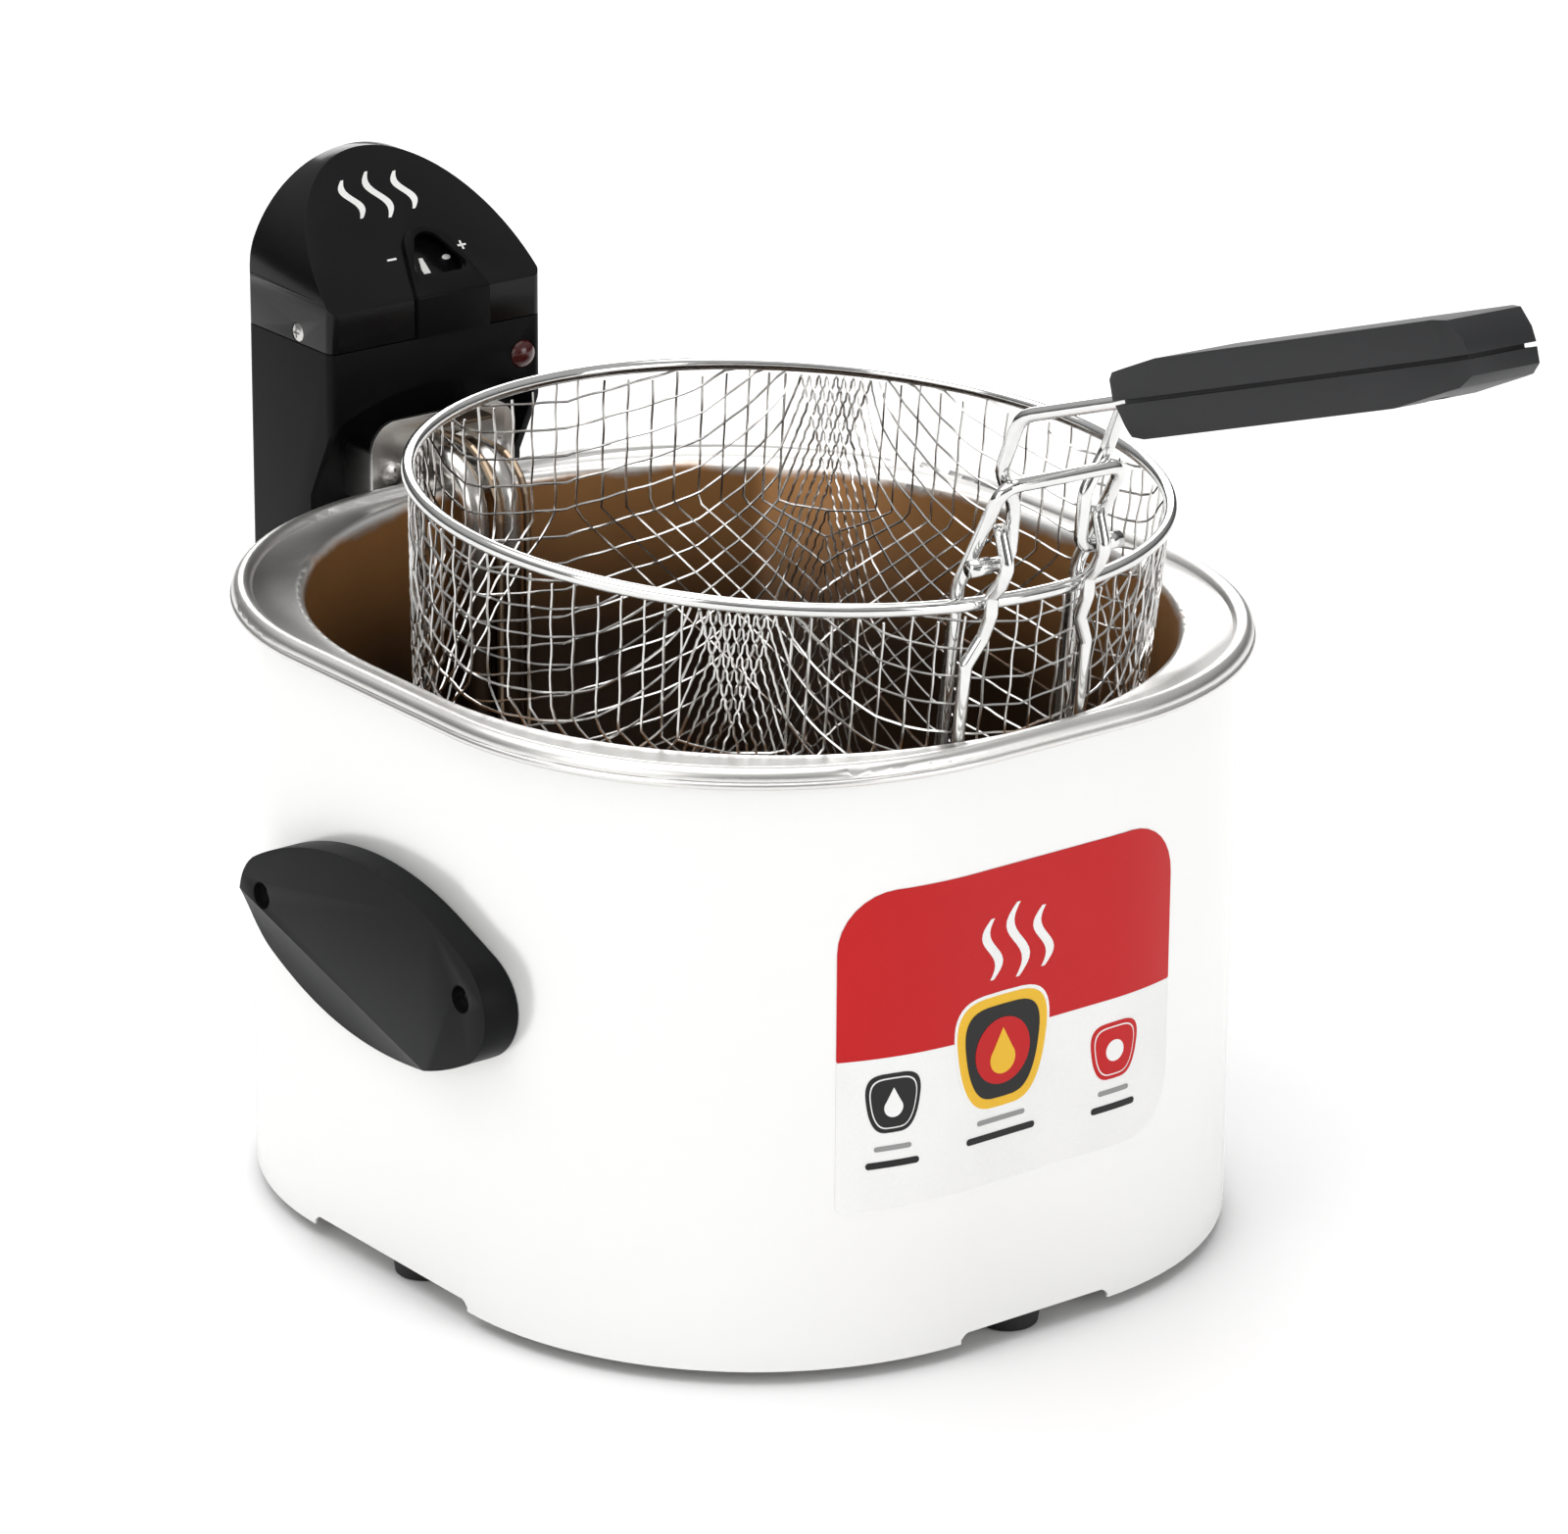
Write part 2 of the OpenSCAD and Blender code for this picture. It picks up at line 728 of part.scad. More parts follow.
module head_housing() {
    color(black_plastic) difference() {
        union() {
            difference() {
                translate([0, 0, head_low_z]) linear_extrude(seam_z - head_low_z)
                    head_outline();
                difference() {
                    translate([0, 0, head_low_z + head_t]) linear_extrude(seam_z)
                        head_outline(head_t);
                    recess_space(head_x + 5, head_t, recess_deep + head_t);
                }
                recess_space(head_x - head_t, 0, recess_deep);
                front_setback();
            }
            at_bracket_screws(recess_y + boss_l + 1) cylinder(h = boss_l, d = boss_d);
            housing_tabs();
        }
        at_bracket_screws(recess_y + boss_l)
            cylinder(h = boss_l + 10, d = m4_d + 2 * press_gap);
        at_cap_screws() cylinder(h = 40, d = m3_d + 2 * press_gap, center = true);
        tube_holes(recess_y - 5, recess_y + 5, 0.5);
        translate([lamp_x, head_y + 9, lamp_z]) rotate([90, 0, 0])
            cylinder(h = 20, d = lamp_d + 2 * press_gap);
        translate([reset_x, head_back_y + 5, reset_z]) rotate([90, 0, 0])
            cylinder(h = 10, d = reset_d + 4 * run_gap);
        translate([gland_x, head_back_y + 5, reset_z]) rotate([90, 0, 0])
            cylinder(h = 10, d = gland_d + 2 * press_gap);
        switch_holes();
    }
}

// Solid under the cap's arch and slope, less deep on every side
module cap_solid(less = 0) {
    low = seam_z + (less > 0 ? -5 : 0.4);
    slope_l = 2 * head_d;
    intersection() {
        translate([0, head_back_y - less, 0]) rotate([90, 0, 0])
            linear_extrude(head_d - 2 * less) {
                intersection() {
                    translate([0, arch_z]) circle(head_x - less);
                    translate([-head_x, low]) square([2 * head_x, 2 * head_x + arch_z - low]);
                }
                translate([-head_x + less, low]) square([2 * (head_x - less), arch_z - low]);
            }
        linear_extrude(2 * seam_z) head_outline(less);
        on_slope() translate([-head_d, -slope_l, -2 * slope_l - less])
            cube([2 * head_d, 3 * slope_l, 2 * slope_l]);
    }
}

// Frame on the sloping face: X across, Y up the slope, Z out of it
module on_slope() {
    translate([0, head_y, cap_front_z]) rotate([cap_slope, 0, 0]) children();
}

module head_cap() {
    color(black_plastic) difference() {
        union() {
            difference() {
                cap_solid();
                cap_solid(head_t);
            }
            // Bosses that carry the thermostat
            on_slope() for (s = [-1, 1])
                translate([dial_x + s * ear_x, dial_u, -flange_n])
                    cylinder(h = flange_n - head_t / 2, d = 6);
        }
        on_slope() translate([dial_x, dial_u, -20]) cylinder(h = 30, d = dial_d - 2);
        at_cap_screws() {
            cylinder(h = 20, d = m3_d + 2 * press_gap, center = true);
            translate([0, 0, -0.8]) cylinder(h = 5, d = m3_head_d + 0.4);
        }
    }
}

module cap_screws() {
    color(stainless) at_cap_screws() translate([0, 0, -0.8])
        pan_screw(m3_d, m3_head_d, 1.4, 6);
}

// ---- Thermostat dial, lamp and bezel ----

module window_outline() {
    hull() {
        translate([dial_x, dial_u + 3.4]) circle(5.2, $fn = 32);
        for (s = [-1, 1]) translate([dial_x + s * 6.8, dial_u - 4]) circle(2.4, $fn = 32);
    }
}

module dial_bezel() {
    base_r = 1.5;
    top_r = 8.5;
    color(black_plastic) difference() {
        union() {
            on_slope() linear_extrude(bezel_t) hull() {
                translate([dial_x, bezel_u - top_r]) circle(top_r, $fn = 32);
                for (s = [-1, 1]) translate([dial_x + s * (bezel_w / 2 - base_r), 0.2])
                    square([2 * base_r, 0.4], center = true);
            }
            translate([dial_x - bezel_w / 2, head_y - bezel_t, seam_z + 0.4])
                cube([bezel_w, bezel_t, cap_front_h - 0.4]);
            translate([dial_x - bezel_w / 2, head_y, cap_front_z]) rotate([0, 90, 0])
                intersection() {
                    cylinder(h = bezel_w, r = bezel_t);
                    union() {
                        translate([-10, -10, 0]) cube([10, 10, bezel_w]);
                        rotate([0, 0, cap_slope]) translate([-10, 0, 0])
                            mirror([0, 1, 0]) cube([10, 10, bezel_w]);
                    }
                }
        }
        on_slope() translate([0, 0, -1]) linear_extrude(bezel_t + 2) window_outline();
    }
}

module thermostat_dial() {
    color(black_plastic) on_slope() translate([dial_x, dial_u, 0]) difference() {
        union() {
            translate([0, 0, -dial_sunk - dial_t]) cylinder(h = dial_t, d = dial_d);
            translate([0, 0, -dial_sunk - dial_t - 5]) cylinder(h = 5 + eps, d = 10);
            // Pointer rib
            translate([0, 0, -dial_sunk - eps]) linear_extrude(0.8)
                polygon([[-6.9, -4.6], [-3.6, -5.6], [-4.3, 0.6], [-6, 0.6]]);
        }
        translate([0, 0, -dial_sunk - dial_t - 6])
            cylinder(h = dial_t + 5, d = spindle_d + 2 * press_gap);
    }
}

module dial_spindle() {
    color(stainless) on_slope() translate([dial_x, dial_u, -dial_sunk - 19])
        cylinder(h = 18, d = spindle_d);
}

module thermostat_body() {
    color(grey_plastic) on_slope() translate([dial_x, dial_u, 0]) difference() {
        union() {
            translate([-ear_x - 3, -4, -flange_n - 1.2]) cube([2 * ear_x + 6, 8, 1.2]);
            translate([-10, -9, -flange_n - 14]) cube([20, 18, 13]);
        }
        translate([0, 0, -flange_n - 10])
            cylinder(h = 20, d = spindle_d + 2 * run_gap);
    }
}

module pilot_lens() {
    dome = 2.2;
    dome_r = (pow(lamp_d / 2, 2) + pow(dome, 2)) / (2 * dome);
    color([0.55, 0.05, 0.04]) translate([lamp_x, head_y, lamp_z]) rotate([90, 0, 0]) {
        translate([0, 0, -7]) cylinder(h = 7, d = lamp_d);
        intersection() {
            translate([0, 0, dome - dome_r]) sphere(dome_r);
            translate([0, 0, -eps]) cylinder(h = dome + 1, d = lamp_d);
        }
    }
}

module pilot_lamp() {
    color([0.85, 0.75, 0.6]) translate([lamp_x, head_y + 7 + fit_gap, lamp_z])
        rotate([-90, 0, 0]) {
            cylinder(h = lamp_l, d = lamp_d - 2);
            translate([0, 0, lamp_l - eps]) cylinder(h = 4, d = 3);
        }
}

// ---- Element, bracket and rail ----

module element_bracket() {
    side_z = hem_z - 2;
    corner_r = 9;
    color(stainless) difference() {
        union() {
            translate([0, plate_y + plate_t, 0]) rotate([90, 0, 0])
                linear_extrude(plate_t) {
                    translate([-plate_x, plate_low_z])
                        square([2 * plate_x, plate_top_z - corner_r - plate_low_z]);
                    translate([-plate_x + corner_r, plate_low_z])
                        square([2 * (plate_x - corner_r), plate_top_z - plate_low_z]);
                    for (s = [-1, 1])
                        translate([s * (plate_x - corner_r), plate_top_z - corner_r])
                            circle(corner_r);
                }
            for (s = [0, 1]) translate([s ? plate_x - plate_t : -plate_x, plate_y, side_z])
                cube([plate_t, recess_y - plate_y, plate_top_z - corner_r - side_z]);
        }
        at_bracket_screws(plate_y + 10) cylinder(h = 20, d = m4_d + 2 * press_gap);
        tube_holes(plate_y - 5, plate_y + 5, press_gap);
    }
}

module bracket_screws() {
    color(stainless) at_bracket_screws(plate_y)
        pan_screw(m4_d, m4_head_d, m4_head_h, recess_y + boss_l - plate_y - 1);
}

module head_rail() {
    side_x = plate_x + fit_gap;
    low = plate_low_z - fit_gap;
    high = hem_z - 6;
    lip_y = plate_y + plate_t + fit_gap;
    rib_w = 2;
    color(stainless) difference() {
        union() {
            translate([-side_x - rail_t, shell_y, low - rail_t])
                cube([2 * (side_x + rail_t), rail_t, high - low + rail_t]);
            // Floor that the bracket stands on
            translate([-side_x - rail_t, shell_y, low - rail_t])
                cube([2 * (side_x + rail_t), lip_y + rail_t - shell_y, rail_t]);
            for (s = [0, 1]) {
                translate([s ? side_x : -side_x - rail_t, shell_y, low - rail_t])
                    cube([rail_t, lip_y + rail_t - shell_y, high - low + rail_t]);
                translate([s ? side_x - 4 : -side_x - eps, lip_y, low - eps])
                    cube([4 + eps, rail_t, high - low]);
                translate([s ? side_x - 4 : -side_x + 4 - rib_w, shell_y + rail_t - eps, low])
                    cube([rib_w, plate_y - fit_gap - shell_y - rail_t, high - low]);
            }
        }
        at_rail_rivets() cylinder(h = 20, d = m4_d + 2 * press_gap, center = true);
    }
}

module rail_rivets() {
    head_d = 7;
    head_h = 1.6;
    color(stainless) at_rail_rivets() {
        translate([0, 0, -shell_t]) cylinder(h = shell_t + rail_t, d = m4_d);
        translate([0, 0, rail_t]) cylinder(h = head_h, d1 = head_d, d2 = head_d - 2);
        translate([0, 0, -shell_t - head_h]) cylinder(h = head_h, d2 = head_d, d1 = head_d - 2);
    }
}

module heating_element() {
    half = [
        [tube_x, tail_y, cross_z],
        [tube_x, rise_y, cross_z],
        [tube_x, rise_y, loop_z],
        [tube_x, rise_y - 24, loop_z],
        [loop_w / 2, loop_back_y, loop_z],
        [loop_w / 2, loop_front_y, loop_z],
        [loop_in / 2, loop_front_y, loop_z],
        [loop_in / 2, loop_back_y - 20, loop_z]
    ];
    radii = [0, hook_r, foot_r, foot_r, loop_r, loop_r, loop_r, loop_r];
    last = len(half) - 1;
    path = [
        for (i = [0:last]) [-half[i].x, half[i].y, half[i].z],
        for (i = [last:-1:0]) half[i]
    ];
    bends = [for (i = [0:last]) radii[i], for (i = [last:-1:0]) radii[i]];
    color(stainless) {
        bent_wire(path, bends, tube_d);
        for (s = [-1, 1]) translate([s * tube_x, tail_y + 8, cross_z]) rotate([90, 0, 0])
            cylinder(h = 10, d = 3);
    }
}

module element_collars() {
    color([0.8, 0.65, 0.35]) for (s = [-1, 1])
        translate([s * tube_x, plate_y + plate_t + 4, cross_z]) rotate([90, 0, 0])
            difference() {
                cylinder(h = 4, d = tube_gap - 0.6);
                translate([0, 0, -1]) cylinder(h = 6, d = tube_d + 2 * press_gap);
            }
}

module splash_tab() {
    color([0.5, 0.42, 0.35]) {
        translate([-2, plate_y - 11, plate_top_z - 1.6]) cube([13, 11, 1]);
        translate([-2, plate_y - 1, plate_top_z - 5]) cube([13, 1, 4]);
    }
}

// Bulb lying along Y at x, and its capillary up and over the rim, up above the tubes
module bulb(x, d, length) {
    translate([x, bulb_y0 + length, bulb_z]) rotate([90, 0, 0]) cylinder(h = length, d = d);
}

module capillary(x, length, up = 0) {
    y = bulb_y0 + length;
    up_y = rise_y - up;
    bent_wire(
        [[x, y, bulb_z], [x, y + 6, bulb_z], [x, y + 14, dip_z], [x, up_y, dip_z],
            [x, up_y, cross_z + up], [x, tail_y, cross_z + up]],
        [0, 4, 4, 8, hook_r + up, 0], capillary_d, 8);
}

module thermostat_bulb() { color(chrome_wire) bulb(0, 6, bulb_l); }
module cutout_bulb() { color(chrome_wire) bulb(cutout_x, 5, cutout_bulb_l); }
module thermostat_capillary() { color(chrome_wire) capillary(0, bulb_l, capillary_up); }
module cutout_capillary() { color(chrome_wire) capillary(cutout_x, cutout_bulb_l); }

// Two strips under the element's inner loops, with saddles for the bulbs
module bulb_clips() {
    strip_w = 8;
    top_z = loop_z - tube_d / 2;
    color(stainless) for (y = [bulb_y0 + 8, bulb_y0 + cutout_bulb_l - 14])
        translate([0, y, 0]) {
            translate([-loop_in / 2 - 4, 0, top_z - 1]) cube([loop_in + 8, strip_w, 1]);
            for (b = [[0, 3], [cutout_x, 2.5]])
                translate([b.x - 2, 0, top_z - eps])
                    cube([4, strip_w, loop_z - b.y - top_z + eps]);
        }
}

// ---- Parts inside the housing ----

module safety_cutout() {
    color(grey_plastic) difference() {
        translate([reset_x - 10, cutout_y1 - 20, reset_z - 10]) cube([20, 20, 20]);
        translate([reset_x, cutout_y1 + 1, reset_z]) rotate([90, 0, 0])
            cylinder(h = 11, d = reset_d + 4 * run_gap);
    }
}

module reset_button() {
    proud = 2.2;
    inner_y = cutout_y1 - 10 + reset_travel + 0.5;
    color([0.7, 0.1, 0.08]) translate([reset_x, inner_y, reset_z]) rotate([-90, 0, 0])
        cylinder(h = head_back_y + proud - inner_y, d = reset_d);
}

module terminal_block() {
    color([0.9, 0.88, 0.8]) difference() {
        translate([-31, head_back_y - head_t - 14, reset_z + 22]) cube([26, 12, 12]);
        for (i = [0:2]) translate([-26.5 + i * 8.5, head_back_y - head_t - 8, reset_z + 27])
            cylinder(h = 10, d = 4);
    }
}

module at_switch_screws() {
    for (x = switch_x) translate([x, switch_y + 8, switch_z]) rotate([-90, 0, 0]) children();
}

module switch_holes() {
    at_switch_screws() cylinder(h = 30, d = m3_d + 2 * press_gap, center = true);
}

module interlock_switch() {
    color([0.15, 0.15, 0.15]) difference() {
        translate([-32, switch_y, switch_z - 5]) cube([24, 8, 12]);
        switch_holes();
    }
}

module switch_screws() {
    color(stainless) at_switch_screws() pan_screw(m3_d, m3_head_d, m3_head_h, 10);
}

module cord_gland() {
    color(black_plastic) translate([gland_x, head_back_y, reset_z]) rotate([-90, 0, 0])
        difference() {
            union() {
                translate([0, 0, -head_t - 3]) cylinder(h = head_t + 3 + 7, d = gland_d);
                cylinder(h = 2, d = gland_d + 4);
                translate([0, 0, -head_t - 3]) cylinder(h = 3, d = gland_d + 4);
            }
            translate([0, 0, -20]) cylinder(h = 40, d = gland_bore_d);
        }
}

// ---- Basket ----

module at_basket() {
    translate([0, -basket_forward, basket_z]) rotate([lean_front, lean_side, 0]) children();
}

function wall_r(z) = mesh_r + basket_taper * z;
function chord_y(r, x) = -sqrt(r * r - x * x);

module basket_rim() {
    color(chrome_wire) at_basket() rotate_extrude() translate([rim_r, 0])
        circle(d = wire_d, $fn = wire_fn);
}

module basket_mesh() {
    top = -wire_d / 2;
    edge = 8;
    low_r = wall_r(-basket_deep + edge);
    t = mesh_t / 2;
    color(chrome_wire) at_basket() rotate_extrude() polygon([
        [wall_r(top) - t, top], [wall_r(top) + t, top], [low_r + t, -basket_deep + edge],
        [low_r - edge * 0.3 + t, -basket_deep + edge * 0.3],
        [low_r - edge, -basket_deep], [0, -basket_deep], [0, -basket_deep + mesh_t],
        [low_r - edge, -basket_deep + mesh_t],
        [low_r - edge * 0.3 - t, -basket_deep + edge * 0.3 + t], [low_r - t, -basket_deep + edge]]);
}

module basket_base_ring() {
    ring_d = 3;
    color(chrome_wire) at_basket() translate([0, 0, -basket_deep - ring_d / 2])
        rotate_extrude() translate([wall_r(-basket_deep) - 13, 0])
            circle(d = ring_d, $fn = wire_fn);
}

module basket_stirrup() {
    low_z = -stirrup_down;
    knee_z = wire_d;
    knee_y = chord_y(rim_r, stirrup_x) + wire_d + 0.2;
    half = [
        [stirrup_x, chord_y(wall_r(low_z) - leg_gap, stirrup_x) + 1, low_z],
        [stirrup_x, knee_y, knee_z],
        [stirrup_x, bar_y, stirrup_up]
    ];
    path = [for (p = half) [-p.x, p.y, p.z], for (i = [2:-1:0]) half[i]];
    color(chrome_wire) at_basket() bent_wire(path, [0, 8, 5, 5, 8, 0], wire_d);
}

// Wires that hook round the hinge pins, pass outside the rim and run down
// the outside of the mesh
module hinge_brackets() {
    x = stirrup_x - wire_d - 0.1;
    reach = wire_d + 0.5;
    rim_y = chord_y(rim_r, x);
    jog_top = -9;
    jog_low = -17;
    low_z = -basket_deep + 12;
    function outside(z, x) = chord_y(wall_r(z) + leg_gap + 0.2, x);
    side = [
        [x, pin_y - 0.6, pin_up + wire_d + 7.5],
        [x, pin_y - 1.6, pin_up + wire_d + 4.2],
        [x, pin_y - reach - 0.6, pin_up + 0.4],
        [x, pin_y - reach * 0.55, pin_up - reach - 1.1],
        [x, rim_y - reach - 0.2, 3.5],
        [x, rim_y - reach - 0.2, -2],
        [x, outside(jog_top, x) - 0.4, jog_top],
        [stirrup_x, outside(jog_low, stirrup_x), jog_low],
        [stirrup_x, outside(low_z, stirrup_x), low_z]
    ];
    color(chrome_wire) at_basket() for (s = [-1, 1])
        bent_wire([for (p = side) [s * p.x, p.y, p.z]], [0, 3, 4, 3, 3, 3, 3, 3, 0], wire_d);
}

// ---- Basket handle ----

module at_grip() {
    at_basket() translate([0, grip_y, grip_z]) rotate([-grip_angle, 0, 0]) children();
}

function along_grip(x, l) =
    [x, grip_y - l * cos(grip_angle), grip_z + l * sin(grip_angle)];

module handle_wire() {
    pin_x = stirrup_x + 5;
    low_x = stirrup_x - 2 * wire_d - 0.6;
    high_x = stirrup_x - 2.7;
    half = [
        [pin_x, pin_y, pin_up],
        [low_x, pin_y, pin_up],
        [low_x, pin_y - 0.5, pin_up + 16],
        [high_x, pin_y - 1.1, pin_up + 27],
        [high_x, pin_y - 7.6, bend_up + 1],
        along_grip(wire_in_x, -wire_lead),
        along_grip(wire_in_x, wire_in_l)
    ];
    path = [
        for (p = half) [-p.x, p.y, p.z],
        for (i = [len(half) - 1:-1:0]) half[i]
    ];
    radii = [0, 3.5, 8, 8, 8, 10, 5];
    bends = [for (r = radii) r, for (i = [len(radii) - 1:-1:0]) radii[i]];
    color(chrome_wire) at_basket() {
        bent_wire(path, bends, wire_d);
        // Round sleeves on the two ends, which turn in the brackets
        for (s = [-1, 1]) translate([s * (pin_x + 0.2), pin_y, pin_up])
            rotate([0, -s * 90, 0]) cylinder(h = sleeve_l, d = sleeve_d);
    }
}

// Outline of the grip in plan, drawn in by less on every side
module grip_plan(less = 0) {
    w = grip_w / 2 - less;
    front = -less;
    end = -grip_l + less;
    polygon([
        [-w * 0.86, front], [w * 0.86, front], [w * 0.95, -6], [w, -24], [w, end + 36],
        [w * 0.94, end + 8], [w * 0.8, end], [-w * 0.8, end],
        [-w * 0.94, end + 8], [-w, end + 36], [-w, -24], [-w * 0.95, -6]]);
}

// Tongue on the lower half that closes the gap between the halves
module grip_tongue() {
    slot_x = wire_in_x + wire_d / 2 + 0.5;
    translate([0, 0, -grip_gap / 2 - 1]) linear_extrude(grip_gap + 0.9) difference() {
        grip_plan(tongue_in);
        translate([-slot_x, -wire_in_l - 4]) square([2 * slot_x, wire_in_l + 10]);
        for (l = grip_screw_l) translate([0, -l]) circle(d = m3_d + 2 * press_gap);
    }
}

// One half, its side outline given as [distance, height] points
module grip_half(side) {
    difference() {
        intersection() {
            rotate([90, 0, 90]) linear_extrude(grip_w, center = true)
                polygon([for (p = side) [-p.x, p.y]]);
            translate([0, 0, -20]) linear_extrude(40) grip_plan();
        }
        for (s = [-1, 1]) translate([s * wire_in_x, 1, 0]) rotate([90, 0, 0])
            cylinder(h = wire_in_l + 3.5, d = wire_d + 2 * press_gap);
        translate([-wire_in_x - 2, -wire_in_l - 2.5, -wire_d / 2 - press_gap])
            cube([2 * wire_in_x + 4, 9, wire_d + 2 * press_gap]);
        for (l = grip_screw_l) translate([0, -l, -20])
            cylinder(h = 20 + grip_half_h - 3, d = m3_d + 2 * press_gap);
        for (l = grip_screw_l) translate([0, -l, -20])
            cylinder(h = 20 - grip_half_h + 2.5, d = m3_head_d + 0.6);
    }
}

module grip_upper() {
    g = grip_gap / 2;
    h = grip_half_h + g;
    color(black_plastic) at_grip() grip_half([
        [0, g], [grip_l, g], [grip_l - 1, g + 4], [grip_l - 5, h - 0.6],
        [grip_l - 9, h], [22, h], [2, h - 2.2], [0, h - 4]]);
}

module grip_lower() {
    g = -grip_gap / 2;
    h = grip_half_h - g;
    color(black_plastic) at_grip() {
        grip_half([
            [1, g], [grip_l, g], [grip_l, -h + 5.5], [grip_l - 4, -h + 3],
            [grip_l - 28, -h], [12, -h], [7, -h + 1], [4.5, -h + 4]]);
        grip_tongue();
    }
}

module grip_screws() {
    color(stainless) at_grip() for (l = grip_screw_l)
        translate([0, -l, -grip_half_h + 2.5]) rotate([180, 0, 0])
            pan_screw(m3_d, m3_head_d, m3_head_h, 2 * grip_half_h - 8);
}

// ---- Nodes ----

body_shell();
base_plate();
rubber_feet();
foot_screws();
foot_nuts();
oil_tank();
front_label();
side_handle_left();
side_handle_right();
handle_screws();
handle_nuts();
head_rail();
rail_rivets();
head_housing();
head_cap();
cap_screws();
dial_bezel();
thermostat_dial();
dial_spindle();
thermostat_body();
pilot_lens();
pilot_lamp();
element_bracket();
bracket_screws();
heating_element();
element_collars();
splash_tab();
thermostat_bulb();
thermostat_capillary();
cutout_bulb();
cutout_capillary();
bulb_clips();
safety_cutout();
reset_button();
terminal_block();
interlock_switch();
switch_screws();
cord_gland();
basket_rim();
basket_mesh();
basket_base_ring();
basket_stirrup();
hinge_brackets();
handle_wire();
grip_upper();
grip_lower();
grip_screws();
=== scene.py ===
"""Counter-top deep fryer: its finishes, wire net, wires, label and small marks."""
import math
import bpy
from mathutils import Matrix, Vector


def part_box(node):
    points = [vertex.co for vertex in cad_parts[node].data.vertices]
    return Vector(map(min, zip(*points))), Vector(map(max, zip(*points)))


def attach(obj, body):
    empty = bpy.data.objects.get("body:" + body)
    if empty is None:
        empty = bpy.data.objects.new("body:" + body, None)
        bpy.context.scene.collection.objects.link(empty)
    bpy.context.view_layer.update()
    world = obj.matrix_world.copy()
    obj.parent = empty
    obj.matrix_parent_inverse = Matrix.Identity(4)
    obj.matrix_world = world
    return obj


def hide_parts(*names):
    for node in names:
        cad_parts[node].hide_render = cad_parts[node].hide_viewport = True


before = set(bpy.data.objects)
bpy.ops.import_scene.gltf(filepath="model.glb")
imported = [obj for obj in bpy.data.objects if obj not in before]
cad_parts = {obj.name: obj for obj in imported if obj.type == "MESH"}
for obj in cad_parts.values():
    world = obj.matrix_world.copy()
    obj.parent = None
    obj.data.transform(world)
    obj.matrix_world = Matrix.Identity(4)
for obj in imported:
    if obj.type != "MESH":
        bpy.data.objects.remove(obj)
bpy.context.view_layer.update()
MM = 0.001


# ---- Small helpers for modelling ----

def only(piece):
    """Selects this piece and nothing else."""
    if bpy.context.object and bpy.context.object.mode != "OBJECT":
        bpy.ops.object.mode_set(mode="OBJECT")
    bpy.ops.object.select_all(action="DESELECT")
    piece.select_set(True)
    bpy.context.view_layer.objects.active = piece


def nothing():
    bpy.ops.object.select_all(action="DESELECT")


def settle(piece):
    """Puts the piece's place and turn into its mesh."""
    only(piece)
    bpy.ops.object.transform_apply(location=True, rotation=True, scale=True)


def smooth(piece, degrees=35):
    only(piece)
    bpy.ops.object.shade_smooth_by_angle(angle=math.radians(degrees))


def apply_modifiers(piece):
    only(piece)
    for modifier in list(piece.modifiers):
        bpy.ops.object.modifier_apply(modifier=modifier.name)


def dress(piece, name, finish, body, *nodes):
    """Names a finished piece, gives it its finish and its body."""
    piece.name = name
    piece.data.materials.clear()
    piece.data.materials.append(finish)
    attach(piece, body)
    if nodes:
        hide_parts(*nodes)
    return piece


def face_outward(piece):
    """Turns every face of the piece outward."""
    only(piece)
    bpy.ops.object.mode_set(mode="EDIT")
    bpy.ops.mesh.select_all(action="SELECT")
    bpy.ops.mesh.normals_make_consistent(inside=False)
    bpy.ops.object.mode_set(mode="OBJECT")


# Corners closer than this, in millimetres, are one corner, and faces closer in angle are one face
MERGE_GAP = 0.004
FLAT_ANGLE = math.radians(0.6)


def refined(node, finish, body, round_off=0.0, degrees=35, steps=3):
    """A copy of a node with merged corners, smooth faces and edges rounded by round_off mm."""
    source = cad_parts[node]
    piece = bpy.data.objects.new(node + "_fine", source.data.copy())
    bpy.context.collection.objects.link(piece)
    piece.matrix_world = source.matrix_world
    settle(piece)
    bpy.ops.object.mode_set(mode="EDIT")
    bpy.ops.mesh.select_all(action="SELECT")
    bpy.ops.mesh.remove_doubles(threshold=MERGE_GAP * MM)
    if round_off:
        bpy.ops.mesh.dissolve_limited(angle_limit=FLAT_ANGLE)
    bpy.ops.object.mode_set(mode="OBJECT")
    if round_off:
        edge = piece.modifiers.new("edges", "BEVEL")
        edge.width = round_off * MM
        edge.segments = steps
        edge.limit_method = "ANGLE"
        edge.angle_limit = math.radians(degrees)
        edge.miter_outer = "MITER_ARC"
        apply_modifiers(piece)
    smooth(piece, degrees)
    return dress(piece, node + "_fine", finish, body, node)


def wires(name, runs, radius, finish, body, *nodes):
    """Thin wires along lists of points, as one piece."""
    nothing()
    bpy.ops.curve.primitive_bezier_curve_add()
    piece = bpy.context.object
    curve = piece.data
    curve.dimensions = "3D"
    curve.splines.clear()
    for run in runs:
        spline = curve.splines.new("POLY")
        spline.points.add(len(run) - 1)
        for point, place in zip(spline.points, run):
            point.co = (*place, 1.0)
    curve.bevel_depth = radius
    curve.bevel_resolution = 0
    curve.use_fill_caps = True
    only(piece)
    bpy.ops.object.convert(target="MESH")
    piece = bpy.context.object
    settle(piece)
    smooth(piece, 60)
    return dress(piece, name, finish, body, *nodes)


# ---- Finishes ----

